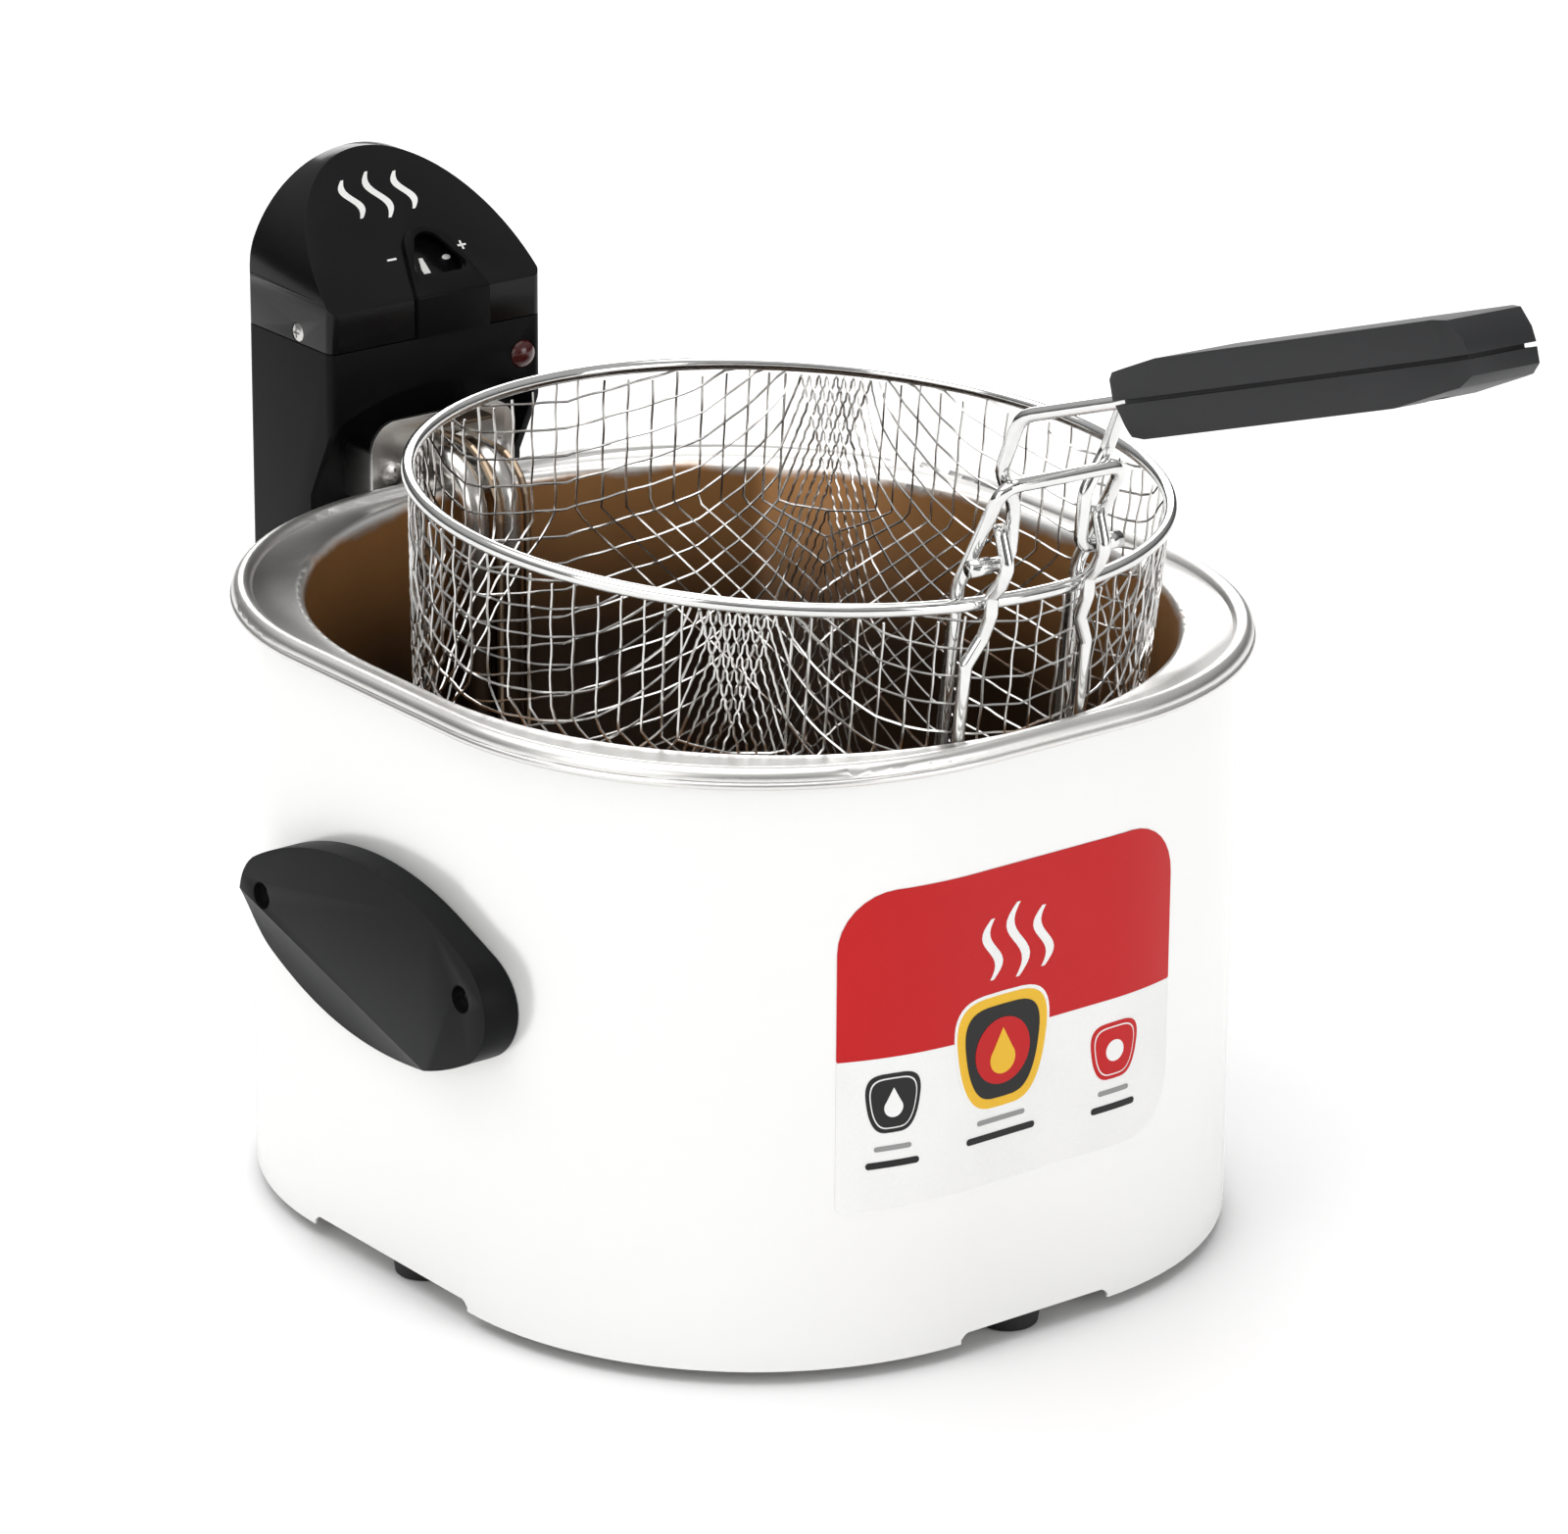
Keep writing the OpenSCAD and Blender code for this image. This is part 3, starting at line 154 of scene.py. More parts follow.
class Value:
    """A shader socket whose sums are written as Python expressions."""

    def __init__(self, finish, socket):
        self.finish = finish
        self.socket = socket

    def sum_of(self, operation, first, second):
        return self.finish.add("ShaderNodeMath", {"operation": operation}, {0: first, 1: second})

    def __add__(self, other):
        return self.sum_of("ADD", self, other)

    __radd__ = __add__

    def __sub__(self, other):
        return self.sum_of("SUBTRACT", self, other)

    def __rsub__(self, other):
        return self.sum_of("SUBTRACT", other, self)

    def __mul__(self, other):
        return self.sum_of("MULTIPLY", self, other)


class Finish:
    """One material, built a node at a time."""

    def __init__(self, name, **constants):
        self.material = bpy.data.materials.new(name)
        self.material.use_nodes = True
        self.nodes = self.material.node_tree.nodes
        self.links = self.material.node_tree.links
        self.nodes.clear()
        self.shader = self.nodes.new("ShaderNodeBsdfPrincipled")
        output = self.nodes.new("ShaderNodeOutputMaterial")
        self.links.new(self.shader.outputs[0], output.inputs[0])
        for socket, value in constants.items():
            self.shader.inputs[socket.replace("_", " ")].default_value = value

    def add(self, kind, settings=None, values=None, out=0):
        """Adds a node, sets it, fills its sockets and returns one output."""
        node = self.nodes.new(kind)
        for name, setting in (settings or {}).items():
            if name == "stops":
                ramp = node.color_ramp.elements
                while len(ramp) < len(setting):
                    ramp.new(0.5)
                for stop, (place, colour) in zip(ramp, setting):
                    stop.position = place
                    stop.color = (*colour, 1.0)
            else:
                setattr(node, name, setting)
        for name, value in (values or {}).items():
            self.fill(node.inputs[name], value)
        return Value(self, node.outputs[out])

    def fill(self, socket, value):
        if isinstance(value, Value):
            self.links.new(value.socket, socket)
        else:
            socket.default_value = value

    def feed(self, name, value):
        self.fill(self.shader.inputs[name], value)

    def place(self, stretch=(1, 1, 1)):
        """Object coordinates in metres, stretched."""
        here = self.add("ShaderNodeTexCoord", out="Object")
        return self.add("ShaderNodeMapping", None, {"Vector": here, "Scale": stretch})

    def noise(self, scale, detail, stretch=(1, 1, 1)):
        return self.add("ShaderNodeTexNoise", None, {
            "Vector": self.place(stretch), "Scale": scale, "Detail": detail})

    def blend_of(self, mask, low, high):
        """Colour low where the mask is 0 and high where it is 1."""
        mix = {"data_type": "RGBA"}
        low = low if isinstance(low, Value) else (*low, 1.0)
        high = high if isinstance(high, Value) else (*high, 1.0)
        return self.add("ShaderNodeMix", mix, {0: mask, 6: low, 7: high}, out=2)

    def between(self, value, low, high):
        """0 below low, 1 above high and a smooth rise from one to the other."""
        return self.add("ShaderNodeMapRange", {"interpolation_type": "SMOOTHSTEP"}, {
            "Value": value, "From Min": low, "From Max": high})

    def height(self):
        return self.add("ShaderNodeSeparateXYZ", None, {0: self.place()}, out="Z")

    def bump(self, relief, strength, depth):
        """depth is in millimetres."""
        self.feed("Normal", self.add("ShaderNodeBump", None, {
            "Height": relief, "Strength": strength, "Distance": depth * MM}))


def tint(colour, factor):
    return tuple(min(1.0, c * factor) for c in colour)


# Depth of the relief on plastic and on metal, in millimetres
PLASTIC_RELIEF, METAL_RELIEF = 0.04, 0.02


def moulded(name, colour, rough, grain, grain_scale, coat=0.0, spread=0.06, shine=0.35):
    """Plastic with a fine grain, faint blotches and uneven gloss."""
    look = Finish(name, Coat_Roughness=0.10, Specular_IOR_Level=shine)
    look.feed("Coat Weight", coat)
    blotch = look.noise(45, 4)
    fine = look.noise(grain_scale, 2)
    look.feed("Base Color", look.blend_of(blotch, tint(colour, 0.82), tint(colour, 1.2)))
    look.feed("Roughness", rough - spread + blotch * spread + fine * spread)
    look.bump(fine + blotch * 0.6, grain, PLASTIC_RELIEF)
    return look.material


def metal(name, colour, rough, scale, spread, grain, stretch=(1, 1, 1)):
    """Metal with brushed streaks and faint cloudy handling marks."""
    look = Finish(name, Metallic=1.0)
    streak = look.noise(scale, 3, stretch)
    cloud = look.noise(28, 4)
    mixed = streak * 0.5 + cloud * 0.5
    look.feed("Base Color", look.blend_of(mixed, tint(colour, 0.86), tint(colour, 1.1)))
    look.feed("Roughness", rough - spread / 2 + streak * spread * 0.5 + cloud * spread * 0.5)
    look.bump(streak, grain, METAL_RELIEF)
    return look.material


# Heights in metres over which the well goes from near black at the bottom to pale brown, the steel comes
# clean and the tube comes clean
WELL_DARKENING_RISE = (0.122, 0.180)
CLEAN_RISE = (0.1755, 0.1790)
TUBE_CLEAN_RISE = (0.150, 0.182)
# The mouth's straight half and the reach from its middle where the clean rim starts, in metres
MOUTH_FLAT = 0.0170
CLEAN_REACH = (0.1160, 0.1180)


def tank_steel():
    """Bright steel on the rim that turns to brown oil varnish down the well, darker towards the bottom."""
    look = Finish("tank_steel")
    rise = look.height()
    cloud = look.noise(22, 5)
    drip = look.noise(60, 4, (1, 1, 0.16))
    streak = look.noise(900, 2, (1, 1, 6))
    edge = rise + (cloud - 0.5) * 0.010 + (drip - 0.5) * 0.006
    # Only the well inside the mouth is browned; the rim and its underside stay clean
    here = look.place()
    x = look.add("ShaderNodeSeparateXYZ", None, {0: here}, out="X")
    y = look.add("ShaderNodeSeparateXYZ", None, {0: here}, out="Y")
    beyond = look.add("ShaderNodeMath", {"operation": "ABSOLUTE"}, {0: y}) - MOUTH_FLAT
    beyond = look.add("ShaderNodeMath", {"operation": "MAXIMUM"}, {0: beyond, 1: 0.0})
    reach = look.add("ShaderNodeMath", {"operation": "SQRT"}, {0: x * x + beyond * beyond})
    clean = look.add("ShaderNodeMath", {"operation": "MAXIMUM"}, {
        0: look.between(edge, *CLEAN_RISE), 1: look.between(reach, *CLEAN_REACH)})
    # The well's brown darkens towards the bottom, to near black at its foot
    deep = look.between(edge, *WELL_DARKENING_RISE)
    varnish_darker_down = look.blend_of(deep, (0.016, 0.008, 0.004), (0.44, 0.21, 0.07))
    blotted = look.blend_of(drip * 0.35, varnish_darker_down, (0.10, 0.045, 0.016))
    steel = look.blend_of(streak, (0.68, 0.67, 0.65), (0.84, 0.83, 0.81))
    look.feed("Base Color", look.blend_of(clean, blotted, steel))
    look.feed("Metallic", 0.45 + clean * 0.55)
    look.feed("Roughness", 0.34 - clean * 0.06 + cloud * 0.1)
    look.bump(streak + drip * 0.8, 0.18, 0.05)
    return look.material


def element_steel():
    """Heating tube, bright over the rim and browned in the well."""
    look = Finish("element_tube")
    rise = look.height()
    cloud = look.noise(70, 4)
    bright = look.between(rise + (cloud - 0.5) * 0.02, *TUBE_CLEAN_RISE)
    steel = look.blend_of(cloud, (0.55, 0.53, 0.50), (0.78, 0.76, 0.73))
    look.feed("Base Color", look.blend_of(bright, (0.05, 0.03, 0.018), steel))
    look.feed("Metallic", 0.7 + bright * 0.3)
    look.feed("Roughness", 0.42 - bright * 0.26 + cloud * 0.08)
    look.bump(cloud, 0.12, 0.05)
    return look.material


def ink(name, colour):
    """Printed film under a clear gloss layer."""
    look = Finish("ink_" + name, Coat_Roughness=0.08, Specular_IOR_Level=0.22)
    look.feed("Coat Weight", 0.06)
    cloud = look.noise(35, 3)
    print_grain = look.noise(1500, 1)
    mixed = cloud * 0.6 + print_grain * 0.4
    look.feed("Base Color", look.blend_of(mixed, tint(colour, 0.90), tint(colour, 1.08)))
    look.feed("Roughness", 0.28 + print_grain * 0.12)
    look.bump(print_grain, 0.06, 0.02)
    return look.material


def coloured_lens():
    look = Finish("lamp_lens", Coat_Roughness=0.03, IOR=1.5)
    look.feed("Coat Weight", 0.4)
    cloud = look.noise(160, 3)
    look.feed("Base Color", look.blend_of(cloud, (0.035, 0.003, 0.003), (0.09, 0.007, 0.006)))
    look.feed("Roughness", 0.12 + cloud * 0.1)
    look.bump(cloud, 0.1, 0.06)
    return look.material


TANK_STEEL = tank_steel()
ELEMENT_TUBE = element_steel()
LAMP_LENS = coloured_lens()
CHROME = metal("chrome_wire", (0.80, 0.80, 0.79), rough=0.12, scale=340, spread=0.10, grain=0.05)
NET_WIRE = metal("net_wire", (0.70, 0.69, 0.67), rough=0.22, scale=900, spread=0.12, grain=0.10)
SATIN_STEEL = metal("satin_steel", (0.62, 0.61, 0.59), rough=0.30, scale=420, spread=0.14,
                    grain=0.18, stretch=(1, 1, 8))
DARK_STEEL = metal("browned_steel", (0.20, 0.15, 0.11), rough=0.40, scale=240, spread=0.16,
                   grain=0.2, stretch=(1, 1, 3))
COPPER = metal("dull_copper", (0.55, 0.42, 0.30), rough=0.34, scale=260, spread=0.12, grain=0.12)
CAP_PLASTIC = moulded("cap_plastic", (0.004, 0.004, 0.0045), rough=0.18, grain=0.05,
                      grain_scale=900, coat=0.06, spread=0.05, shine=0.2)
HOUSING_PLASTIC = moulded("housing_plastic", (0.005, 0.005, 0.0055), rough=0.36, grain=0.20,
                          grain_scale=1300, spread=0.08, shine=0.08)
HANDLE_PLASTIC = moulded("handle_plastic", (0.006, 0.0062, 0.0068), rough=0.40, grain=0.30,
                         grain_scale=1500, spread=0.08, shine=0.08)
GRIP_PLASTIC = moulded("grip_plastic", (0.019, 0.0195, 0.021), rough=0.46, grain=0.34,
                       grain_scale=1500, spread=0.08, shine=0.3)
RUBBER = moulded("foot_rubber", (0.018, 0.018, 0.018), rough=0.70, grain=0.30,
                 grain_scale=700, spread=0.08)
GREY_PLASTIC = moulded("grey_plastic", (0.20, 0.20, 0.19), rough=0.45, grain=0.15, grain_scale=1100)
CREAM_PLASTIC = moulded("cream_plastic", (0.62, 0.57, 0.44), rough=0.40, grain=0.15, grain_scale=1100)
RED_PLASTIC = moulded("red_plastic", (0.42, 0.02, 0.015), rough=0.30, grain=0.10, grain_scale=1100)
MARK_WHITE = moulded("mark_white", (0.80, 0.80, 0.78), rough=0.40, grain=0.10, grain_scale=1100)
INK_RED = ink("red", (0.54, 0.006, 0.008))
INK_WHITE = ink("white", (0.90, 0.90, 0.89))
INK_YELLOW = ink("yellow", (0.85, 0.50, 0.03))
INK_BLACK = ink("black", (0.015, 0.015, 0.015))
INK_GREY = ink("grey", (0.30, 0.30, 0.30))

# ---- Finishes on the carried-over nodes ----

NODE_FINISH = {
    "base_plate": SATIN_STEEL, "foot_screws": SATIN_STEEL, "foot_nuts": SATIN_STEEL,
    "handle_screws": SATIN_STEEL, "handle_nuts": SATIN_STEEL, "rail_rivets": SATIN_STEEL,
    "cap_screws": SATIN_STEEL, "bracket_screws": SATIN_STEEL, "switch_screws": SATIN_STEEL,
    "grip_screws": SATIN_STEEL, "bulb_clips": DARK_STEEL, "dial_spindle": SATIN_STEEL,
    "thermostat_bulb": COPPER, "thermostat_capillary": COPPER, "cutout_bulb": COPPER,
    "cutout_capillary": COPPER, "thermostat_body": GREY_PLASTIC, "safety_cutout": GREY_PLASTIC,
    "interlock_switch": GREY_PLASTIC, "terminal_block": CREAM_PLASTIC, "pilot_lamp": LAMP_LENS,
    "reset_button": RED_PLASTIC,
}
for node_name, node_finish in NODE_FINISH.items():
    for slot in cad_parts[node_name].material_slots:
        slot.material = node_finish

refined("oil_tank", TANK_STEEL, "fryer_body", degrees=40)
refined("rubber_feet", RUBBER, "fryer_body", round_off=0.8)
refined("head_rail", SATIN_STEEL, "fryer_body", round_off=0.25)
for side in ("left", "right"):
    refined("side_handle_" + side, HANDLE_PLASTIC, "fryer_body", round_off=1.6, degrees=30, steps=4)
refined("head_housing", HOUSING_PLASTIC, "control_head", round_off=0.7, degrees=30)
refined("head_cap", CAP_PLASTIC, "control_head", round_off=1.1, degrees=30, steps=4)
refined("dial_bezel", HOUSING_PLASTIC, "control_head", round_off=0.35)
refined("thermostat_dial", CAP_PLASTIC, "dial", round_off=0.3)
refined("pilot_lens", LAMP_LENS, "control_head", round_off=0.6)
refined("element_bracket", SATIN_STEEL, "control_head", round_off=0.2)
refined("heating_element", ELEMENT_TUBE, "control_head", degrees=50)
refined("element_collars", SATIN_STEEL, "control_head", round_off=0.2)
refined("splash_tab", DARK_STEEL, "control_head", round_off=0.15)
refined("cord_gland", HOUSING_PLASTIC, "control_head", round_off=0.5)
for node_name in ("basket_rim", "basket_base_ring", "basket_stirrup", "hinge_brackets"):
    refined(node_name, CHROME, "basket", degrees=60)
refined("handle_wire", CHROME, "basket_handle", degrees=60)
refined("grip_upper", GRIP_PLASTIC, "basket_handle", round_off=2.2, degrees=30, steps=4)
refined("grip_lower", GRIP_PLASTIC, "basket_handle", round_off=2.0, degrees=30, steps=4)

# ---- Wire net of the basket ----

rim_low, rim_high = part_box("basket_rim")
RIM_CENTRE = (Vector(rim_low) + Vector(rim_high)) / 2
# The basket's tilt to the front and to the side
LEAN_FRONT = math.radians(2.35)
LEAN_SIDE = math.radians(1.78)
BASKET = (Matrix.Translation(RIM_CENTRE) @ Matrix.Rotation(LEAN_SIDE, 4, "Y")
          @ Matrix.Rotation(LEAN_FRONT, 4, "X"))
NET_RADIUS = 107.1
NET_TAPER = 0.06
NET_DEPTH = 144.6
NET_WIRE_R = 0.38
QUARTER = NET_RADIUS * math.pi / 4
PITCH = 8.2
FIRST_ROW = -7.6
ROWS_TO_CORNER = 9
# Rise of a cross wire at distances from the middle of a side
RISE = [(0, 0), (12.9, 1.4), (20.9, 2.7), (28.9, 4.2), (36.4, 6.1), (44.3, 9.1), (51.4, 14.0),
        (58.3, 19.7), (64.1, 25.4), (69, 32), (72, 40), (74.5, 48), (77, 56), (79.6, 64),
        (82, 72), (84.12, 79)]
# Distance from the corner at which each wire ends up upright
UPRIGHT = [2.0, 4.6, 7.1, 9.7, 12, 15, 19.9, 25.7, 32.6, 39.7, 47.6, 55.1, 63.1, 71.1, 80.1]
UPRIGHT_FROM = -42
BUNCH = 14.0
STEP = 0.24
CORNER_SLOPE = 0.3225
RIM_Z = -1.5
# Spacing of the points along a wire, and how far a wire weaves in and out
POINT_STEP = 3.0
WEAVE = 0.34
# Floor of the net: its inset and height, and how its wires' ends spread, reach on and turn up
FLOOR_INSET = 3
FLOOR_LIFT = 0.4
END_SPREAD = 1.02
END_REACH = 2.4
END_RISE = 5


def rise_at(s):
    for (s0, z0), (s1, z1) in zip(RISE, RISE[1:]):
        if s <= s1:
            return z0 + (z1 - z0) * (s - s0) / (s1 - s0)
    return RISE[-1][1]


def reach_at(rise):
    """The distance from a side's middle at which a cross wire has risen this much."""
    for (s0, z0), (s1, z1) in zip(RISE, RISE[1:]):
        if rise <= z1:
            return s0 + (s1 - s0) * (rise - z0) / (z1 - z0)
    return RISE[-1][0]


def zigzag(s, z, corner_z):
    """Wires that bunch at the corners step from crossing to crossing."""
    near = max(0.0, 1 - abs(s - QUARTER) / BUNCH)
    return s + STEP * min(1.0, 2 * near) * math.sin(4 * math.pi * (z - corner_z) / PITCH)


def net_run(row):
    """Half of one wire: (distance round the wall, height) up to the rim."""
    level = FIRST_ROW - PITCH * row
    corner_z = level + RISE[-1][1]
    run = []
    s = 0.0
    while s < QUARTER - BUNCH:
        z = level + rise_at(s)
        if z > RIM_Z:
            return run + [(s, RIM_Z)]
        if z > -NET_DEPTH + 2:
            run.append((s, z))
        s += POINT_STEP
    z = max(level + rise_at(QUARTER - BUNCH), -NET_DEPTH + 2)
    z = corner_z - PITCH / 8 * math.floor((corner_z - z) / (PITCH / 8))
    while z < min(corner_z, RIM_Z):
        run.append((zigzag(reach_at(z - level), z, corner_z), z))
        z += PITCH / 8
    j = row - ROWS_TO_CORNER
    if j < 0 or j >= len(UPRIGHT):
        return run
    slope = CORNER_SLOPE
    if corner_z < UPRIGHT_FROM:
        slope = max(slope, UPRIGHT[j] / (UPRIGHT_FROM - corner_z))
    z = corner_z
    while z < RIM_Z:
        beyond = min(slope * (z - corner_z), UPRIGHT[j])
        run.append((zigzag(QUARTER + beyond, z, corner_z), z))
        z += PITCH / 8 if beyond < BUNCH else POINT_STEP
    return run


def on_wall(s, z, weave):
    angle = s / NET_RADIUS
    r = NET_RADIUS + NET_TAPER * z + weave
    return Vector((r * math.sin(angle), -r * math.cos(angle), z)) * MM


wall_runs = []
floor_runs = []
for face in range(4):
    turn = Matrix.Rotation(face * math.pi / 2, 4, "Z")
    for row in range(ROWS_TO_CORNER + len(UPRIGHT)):
        half = net_run(row)
        if len(half) < 2:
            continue
        joined = half[0][0] == 0
        sides = [[(-s, z) for s, z in reversed(half)][:-1] + half] if joined else [
            half, [(-s, z) for s, z in half]]
        for side in sides:
            travel, run, last = 0.0, [], None
            for s, z in side:
                if last:
                    travel += math.hypot(s - last[0], z - last[1])
                last = (s, z)
                weave = WEAVE * math.sin(math.pi * travel / PITCH + row * math.pi + face)
                run.append(BASKET @ turn @ on_wall(s, z, weave))
            wall_runs.append(run)
# Straight wires across the floor, turned up a little at their ends
floor_r = NET_RADIUS - NET_TAPER * NET_DEPTH - FLOOR_INSET
count = int(floor_r // PITCH)
for axis in (0, 1):
    turn = Matrix.Rotation(axis * math.pi / 2, 4, "Z")
    for i in range(-count, count + 1):
        x = i * PITCH
        half_y = math.sqrt(floor_r ** 2 - x ** 2)
        steps = max(4, int(half_y / 5))
        run = [Vector((x * END_SPREAD, -half_y - END_REACH, -NET_DEPTH + END_RISE)) * MM]
        for k in range(steps + 1):
            y = -half_y + 2 * half_y * k / steps
            run.append(Vector((x, y, -NET_DEPTH + FLOOR_LIFT)) * MM)
        run.append(Vector((x * END_SPREAD, half_y + END_REACH, -NET_DEPTH + END_RISE)) * MM)
        floor_runs.append([BASKET @ turn @ point for point in run])
wires("basket_net_wall", wall_runs, NET_WIRE_R * MM, NET_WIRE, "basket", "basket_mesh")
wires("basket_net_floor", floor_runs, NET_WIRE_R * MM, NET_WIRE, "basket")

# ---- Label ----

SHELL_X, SHELL_Y, CORNER = 123.7, 138.0, 100.0
FLAT = SHELL_X - CORNER
# Width of the strips that a printed field is laid in
STRIP = 3


def on_shell(s, z, out):
    """Point at distance s round the shell from the middle of its front."""
    if abs(s) <= FLAT:
        return Vector((s, -SHELL_Y - out, z)) * MM
    side = math.copysign(1, s)
    angle = (abs(s) - FLAT) / CORNER
    r = CORNER + out
    return Vector((side * (FLAT + r * math.sin(angle)), -(SHELL_Y - CORNER) - r * math.cos(angle), z)) * MM


def inlay(name, outline, level, finish, thick=0.1, nodes=()):
    """A thin printed field, cut to a flat outline and laid round the shell at a level above it."""
    nothing()
    bpy.ops.mesh.primitive_circle_add(vertices=len(outline), radius=1, fill_type="NGON")
    piece = bpy.context.object
    for vertex, (s, z) in zip(piece.data.vertices, outline):
        vertex.co = (s, z, 0)
    bpy.ops.object.mode_set(mode="EDIT")
    low = min(s for s, z in outline)
    high = max(s for s, z in outline)
    s = math.floor(low / STRIP) * STRIP + STRIP
    while s < high:
        bpy.ops.mesh.select_all(action="SELECT")
        bpy.ops.mesh.bisect(plane_co=(s, 0, 0), plane_no=(1, 0, 0))
        s += STRIP
    bpy.ops.object.mode_set(mode="OBJECT")
    for vertex in piece.data.vertices:
        vertex.co = on_shell(vertex.co.x, vertex.co.y, level)
    face_outward(piece)
    wall = piece.modifiers.new("film", "SOLIDIFY")
    wall.thickness = thick * MM
    wall.offset = 0
    apply_modifiers(piece)
    face_outward(piece)
    smooth(piece, 30)
    return dress(piece, name, finish, "fryer_body", *nodes)


def rounded(s0, s1, z0, z1, radii):
    """Rectangle with a radius for each corner, from low left round to high left."""
    points = []
    corners = [(s0, z0, 180), (s1, z0, 270), (s1, z1, 0), (s0, z1, 90)]
    for (s, z, start), r in zip(corners, radii):
        cs = s + r if s == s0 else s - r
        cz = z + r if z == z0 else z - r
        steps = 8 if r > 2 else 3
        for k in range(steps + 1):
            a = math.radians(start + 90 * k / steps)
            points.append((cs + r * math.cos(a), cz + r * math.sin(a)))
    return points


def oval(s, z, rs, rz, count=40):
    return [(s + rs * math.cos(2 * math.pi * k / count), z + rz * math.sin(2 * math.pi * k / count))
            for k in range(count)]


def shield(s, z, w, h):
    """Soft-cornered badge, wider at its top than at its foot."""
    points = []
    for k in range(48):
        a = 2 * math.pi * k / 48
        c, t = math.cos(a), math.sin(a)
        x = w * math.copysign(abs(c) ** 0.5, c)
        y = h / 2 * math.copysign(abs(t) ** (0.75 if t > 0 else 0.85), t)
        points.append((s + x * (0.86 + 0.28 * y / h), z + y))
    return points


def drop(s, z, r):
    """A plain drop with its point upward."""
    points = []
    for k in range(21):
        a = math.radians(-220 + 260 * k / 20)
        points.append((s + r * math.cos(a), z + r * math.sin(a)))
    points.append((s, z + 2.1 * r))
    return points


def wave(s, z, size, width):
    """A plain rising steam wave."""
    line = [(s + 0.13 * size * math.sin(2 * math.pi * i / 14), z + size * (i / 14 - 0.5))
            for i in range(15)]
    taper = [width * (0.35 + 0.65 * math.sin(math.pi * i / 14)) for i in range(15)]
    return ([(x + t / 2, y) for (x, y), t in zip(line, taper)]
            + [(x - t / 2, y) for (x, y), t in reversed(list(zip(line, taper)))])


LEFT, RIGHT, LOW, HIGH, SPLIT = -66.0, 48.5, 50.5, 143.5, 95.0
SPLIT_GAP = 0.05
# Middle of each badge: distance round the shell and height
LEFT_MID, LEFT_Z = -49.5, 81.5
MIDDLE, MIDDLE_Z = -14.0, 89.5
RIGHT_MID, RIGHT_Z = 26.5, 79.5
# The label's film, and the levels of the ink laid over it, one above the other
FILM, FILM_THICK = 0.15, 0.2
INK_LEVELS = (0.32, 0.42, 0.52, 0.62, 0.72)

inlay("label_red", rounded(LEFT, RIGHT, SPLIT, HIGH, (0.6, 0.6, 17, 17)), FILM, INK_RED,
      FILM_THICK, ("front_label",))
inlay("label_white", rounded(LEFT, RIGHT, LOW, SPLIT - SPLIT_GAP, (2, 17, 0.6, 0.6)), FILM,
      INK_WHITE, FILM_THICK)
for k in range(3):
    steam = wave(MIDDLE + 5 + 9 * (k - 1), 120 + (k == 1), 22 - 4 * (k != 1), 3.4)
    inlay("steam_wave_%d" % k, steam, INK_LEVELS[0], INK_WHITE)
for name, outline, layer, finish in (
        ("badge_border", shield(MIDDLE, MIDDLE_Z, 18.6, 35), 0, INK_WHITE),
        ("badge_ring", shield(MIDDLE, MIDDLE_Z, 17.6, 33), 1, INK_YELLOW),
        ("badge_field", shield(MIDDLE, MIDDLE_Z, 14.6, 27.5), 2, INK_BLACK),
        ("badge_disc", oval(MIDDLE, MIDDLE_Z, 9.6, 9.8), 3, INK_RED),
        ("badge_drop", drop(MIDDLE, MIDDLE_Z - 2.4, 4.4), 4, INK_YELLOW),
        ("left_badge", shield(LEFT_MID, LEFT_Z, 9.2, 17.5), 0, INK_BLACK),
        ("left_badge_line", shield(LEFT_MID, LEFT_Z, 7.9, 15), 1, INK_WHITE),
        ("left_badge_field", shield(LEFT_MID, LEFT_Z, 7.5, 14.2), 2, INK_BLACK),
        ("left_badge_sign", drop(LEFT_MID, LEFT_Z - 1.3, 2.8), 3, INK_WHITE),
        ("right_badge", shield(RIGHT_MID, RIGHT_Z, 9.6, 17), 0, INK_RED),
        ("right_badge_line", shield(RIGHT_MID, RIGHT_Z, 8.2, 14.6), 1, INK_WHITE),
        ("right_badge_field", shield(RIGHT_MID, RIGHT_Z, 7.8, 13.8), 2, INK_RED),
        ("right_badge_sign", oval(RIGHT_MID, RIGHT_Z, 3.2, 3.2, 20), 3, INK_WHITE)):
    inlay(name, outline, INK_LEVELS[layer], finish)
# Bars under the badges: middle, height and half width of the long one
for k, (mid, z, half) in enumerate([(LEFT_MID, 67.5, 8), (MIDDLE, 68.6, 12), (RIGHT_MID, 66.5, 8)]):
    inlay("short_bar_%d" % k, rounded(mid - half * 0.7, mid + half * 0.7, z, z + 1.5, (0.7,) * 4),
          INK_LEVELS[0], INK_GREY)
    inlay("long_bar_%d" % k, rounded(mid - half, mid + half, z - 5, z - 3, (0.9,) * 4),
          INK_LEVELS[0], INK_BLACK)

# ---- Dial pointer, range marks and cap emblem ----

SLOPE = math.radians(42.4)
SLOPE_ORIGIN = Vector((0, 149.7, 234.3))
MARK_UP, MARK_THICK, MARK_EDGE = 0.02, 0.12, 0.08
# The dial's face lies this far along the face's normal, and its marks are thicker
DIAL_TOP = -3.5
DIAL_MARK_THICK = 0.3


def on_slope(x, u, up):
    """Point on the cap's sloping face, u along it and up above it."""
    return (SLOPE_ORIGIN + Vector((x, u * math.cos(SLOPE) - up * math.sin(SLOPE),
                                   u * math.sin(SLOPE) + up * math.cos(SLOPE)))) * MM


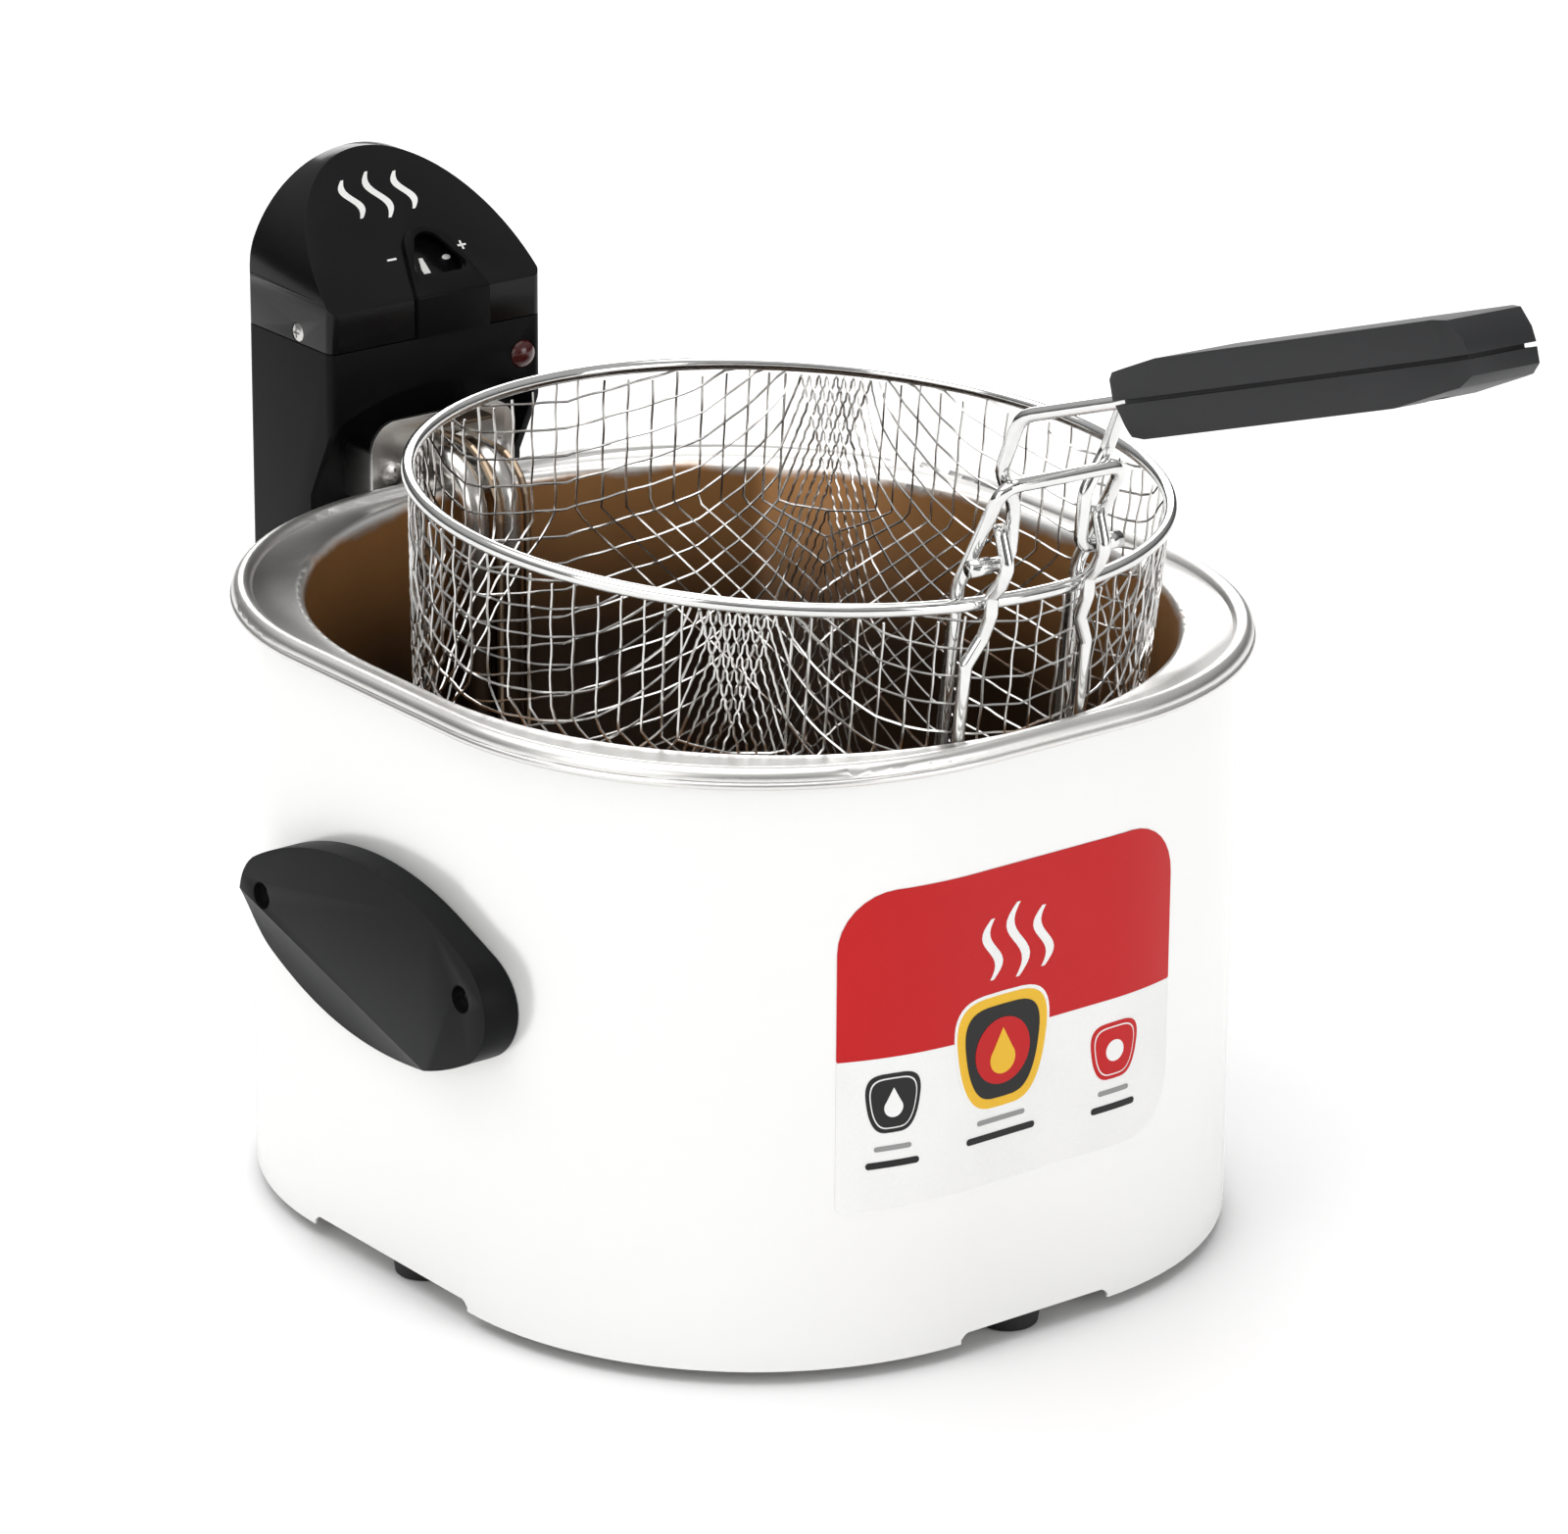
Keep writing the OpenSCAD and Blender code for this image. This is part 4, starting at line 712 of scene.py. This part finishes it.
def sloping_mark(name, outline, body, up=MARK_UP, thick=MARK_THICK):
    """A raised mark cut to a flat outline on the sloping face."""
    nothing()
    bpy.ops.mesh.primitive_circle_add(vertices=len(outline), radius=1, fill_type="NGON")
    piece = bpy.context.object
    for vertex, (x, u) in zip(piece.data.vertices, outline):
        vertex.co = on_slope(x, u, up)
    bpy.ops.object.mode_set(mode="EDIT")
    bpy.ops.mesh.select_all(action="SELECT")
    bpy.ops.mesh.extrude_region_move(TRANSFORM_OT_translate={
        "value": (on_slope(0, 0, thick) - on_slope(0, 0, 0))})
    face_outward(piece)
    edge = piece.modifiers.new("edge", "BEVEL")
    edge.width = MARK_EDGE * MM
    edge.segments = 2
    apply_modifiers(piece)
    return dress(piece, name, MARK_WHITE, body)


def box_outline(x, u, w, h):
    return rounded(x - w / 2, x + w / 2, u - h / 2, u + h / 2, (min(w, h) * 0.3,) * 4)


sloping_mark("dial_pointer", [(1.4, 9.6), (4.4, 9.6), (4.0, 15.2), (2.6, 15.2)], "dial",
             DIAL_TOP + MARK_UP, DIAL_MARK_THICK)
sloping_mark("dial_dot", oval(12.2, 14.0, 1.5, 0.9, 16), "dial", DIAL_TOP + MARK_UP, DIAL_MARK_THICK)
sloping_mark("low_mark", box_outline(-8.7, 14.8, 3.4, 0.7), "control_head")
sloping_mark("high_mark_flat", box_outline(16.9, 15.2, 3.2, 0.7), "control_head")
sloping_mark("high_mark_up", box_outline(16.9, 15.2, 0.7, 3.2), "control_head")
for k in range(3):
    sloping_mark("cap_wave_%d" % k, wave(-11.5 + 9.5 * k, 37.5, 17 - 3 * (k != 1), 3.0),
                 "control_head")

# ---- Floor, light and camera ----

FLOOR_SIZE, FLOOR_Z = 60, -0.0002
SKY_STRENGTH = 0.46
# Heights on the sky where it is darkest and palest
SKY_DARK_AT, SKY_PALE_AT = 0.10, 0.55
SKY_DARK = 0.12
# Name, place, width, height and power of each soft light, all turned to LIGHT_AIM
SOFTBOXES = (
    ("left_light", (-2.3, -0.4, 1.0), 1.6, 1.4, 15),
    ("front_light", (0.7, -2.5, 0.9), 1.5, 1.3, 17),
    ("back_light", (1.4, 1.9, 1.1), 1.6, 0.9, 16))
LIGHT_AIM = Vector((0, 0, 0.12))
CEILING_STRENGTH = 1.9
CEILING_SPREAD = math.radians(70)
CEILING_TILT = math.radians(-8)
CAMERA_PLACE = (-1.16385, -1.52776, 0.83232)
AZIMUTH, ELEVATION, ROLL = math.radians(-37.691), math.radians(20.128), 0.0068
LENS, SENSOR, CLIP_END = 162.92, 36, 50

nothing()
bpy.ops.mesh.primitive_plane_add(size=FLOOR_SIZE)
floor = bpy.context.object
floor.name = "studio_floor"
floor.location = (0, 0, FLOOR_Z)
ground = Finish("studio_floor", Roughness=0.9)
ground.feed("Base Color", ground.blend_of(ground.noise(2, 2), (0.95, 0.95, 0.95), (0.97, 0.97, 0.97)))
floor.data.materials.append(ground.material)

world = bpy.data.worlds.new("studio")
bpy.context.scene.world = world
world.use_nodes = True
backdrop = world.node_tree.nodes["Background"]
backdrop.inputs[1].default_value = SKY_STRENGTH
# Dark at the horizon, which draws the dark lines on the bright metal, and pale overhead
sky = world.node_tree.nodes.new("ShaderNodeTexCoord")
sky_height = world.node_tree.nodes.new("ShaderNodeSeparateXYZ")
sky_ramp = world.node_tree.nodes.new("ShaderNodeValToRGB")
sky_ramp.color_ramp.elements[0].position = SKY_DARK_AT
sky_ramp.color_ramp.elements[0].color = (SKY_DARK, SKY_DARK, SKY_DARK, 1)
sky_ramp.color_ramp.elements[1].position = SKY_PALE_AT
sky_ramp.color_ramp.elements[1].color = (1, 1, 1, 1)
world.node_tree.links.new(sky.outputs["Generated"], sky_height.inputs[0])
world.node_tree.links.new(sky_height.outputs["Z"], sky_ramp.inputs[0])
world.node_tree.links.new(sky_ramp.outputs[0], backdrop.inputs[0])


def softbox(name, place, width, height, power):
    light = bpy.data.lights.new(name, "AREA")
    light.energy = power
    light.shape = "RECTANGLE"
    light.size = width
    light.size_y = height
    lamp = bpy.data.objects.new(name, light)
    bpy.context.collection.objects.link(lamp)
    lamp.location = place
    lamp.rotation_euler = (LIGHT_AIM - Vector(place)).to_track_quat("-Z", "Y").to_euler()


for box_light in SOFTBOXES:
    softbox(*box_light)

sun = bpy.data.lights.new("ceiling_light", "SUN")
sun.energy = CEILING_STRENGTH
sun.angle = CEILING_SPREAD
ceiling = bpy.data.objects.new("ceiling_light", sun)
bpy.context.collection.objects.link(ceiling)
ceiling.rotation_euler = (CEILING_TILT, CEILING_TILT, 0)

back = Vector((math.sin(AZIMUTH) * math.cos(ELEVATION),
               -math.cos(AZIMUTH) * math.cos(ELEVATION), math.sin(ELEVATION)))
level_right = Vector((math.cos(AZIMUTH), math.sin(AZIMUTH), 0))
level_up = back.cross(level_right)
right = math.cos(ROLL) * level_right + math.sin(ROLL) * level_up
camera_data = bpy.data.cameras.new("camera")
camera_data.lens = LENS
camera_data.sensor_width = SENSOR
camera_data.sensor_fit = "HORIZONTAL"
camera_data.clip_end = CLIP_END
camera = bpy.data.objects.new("camera", camera_data)
bpy.context.collection.objects.link(camera)
camera.matrix_world = (Matrix.Translation(CAMERA_PLACE)
                       @ Matrix((right, back.cross(right), back)).transposed().to_4x4())
bpy.context.scene.camera = camera
bpy.context.scene.view_settings.view_transform = "Standard"
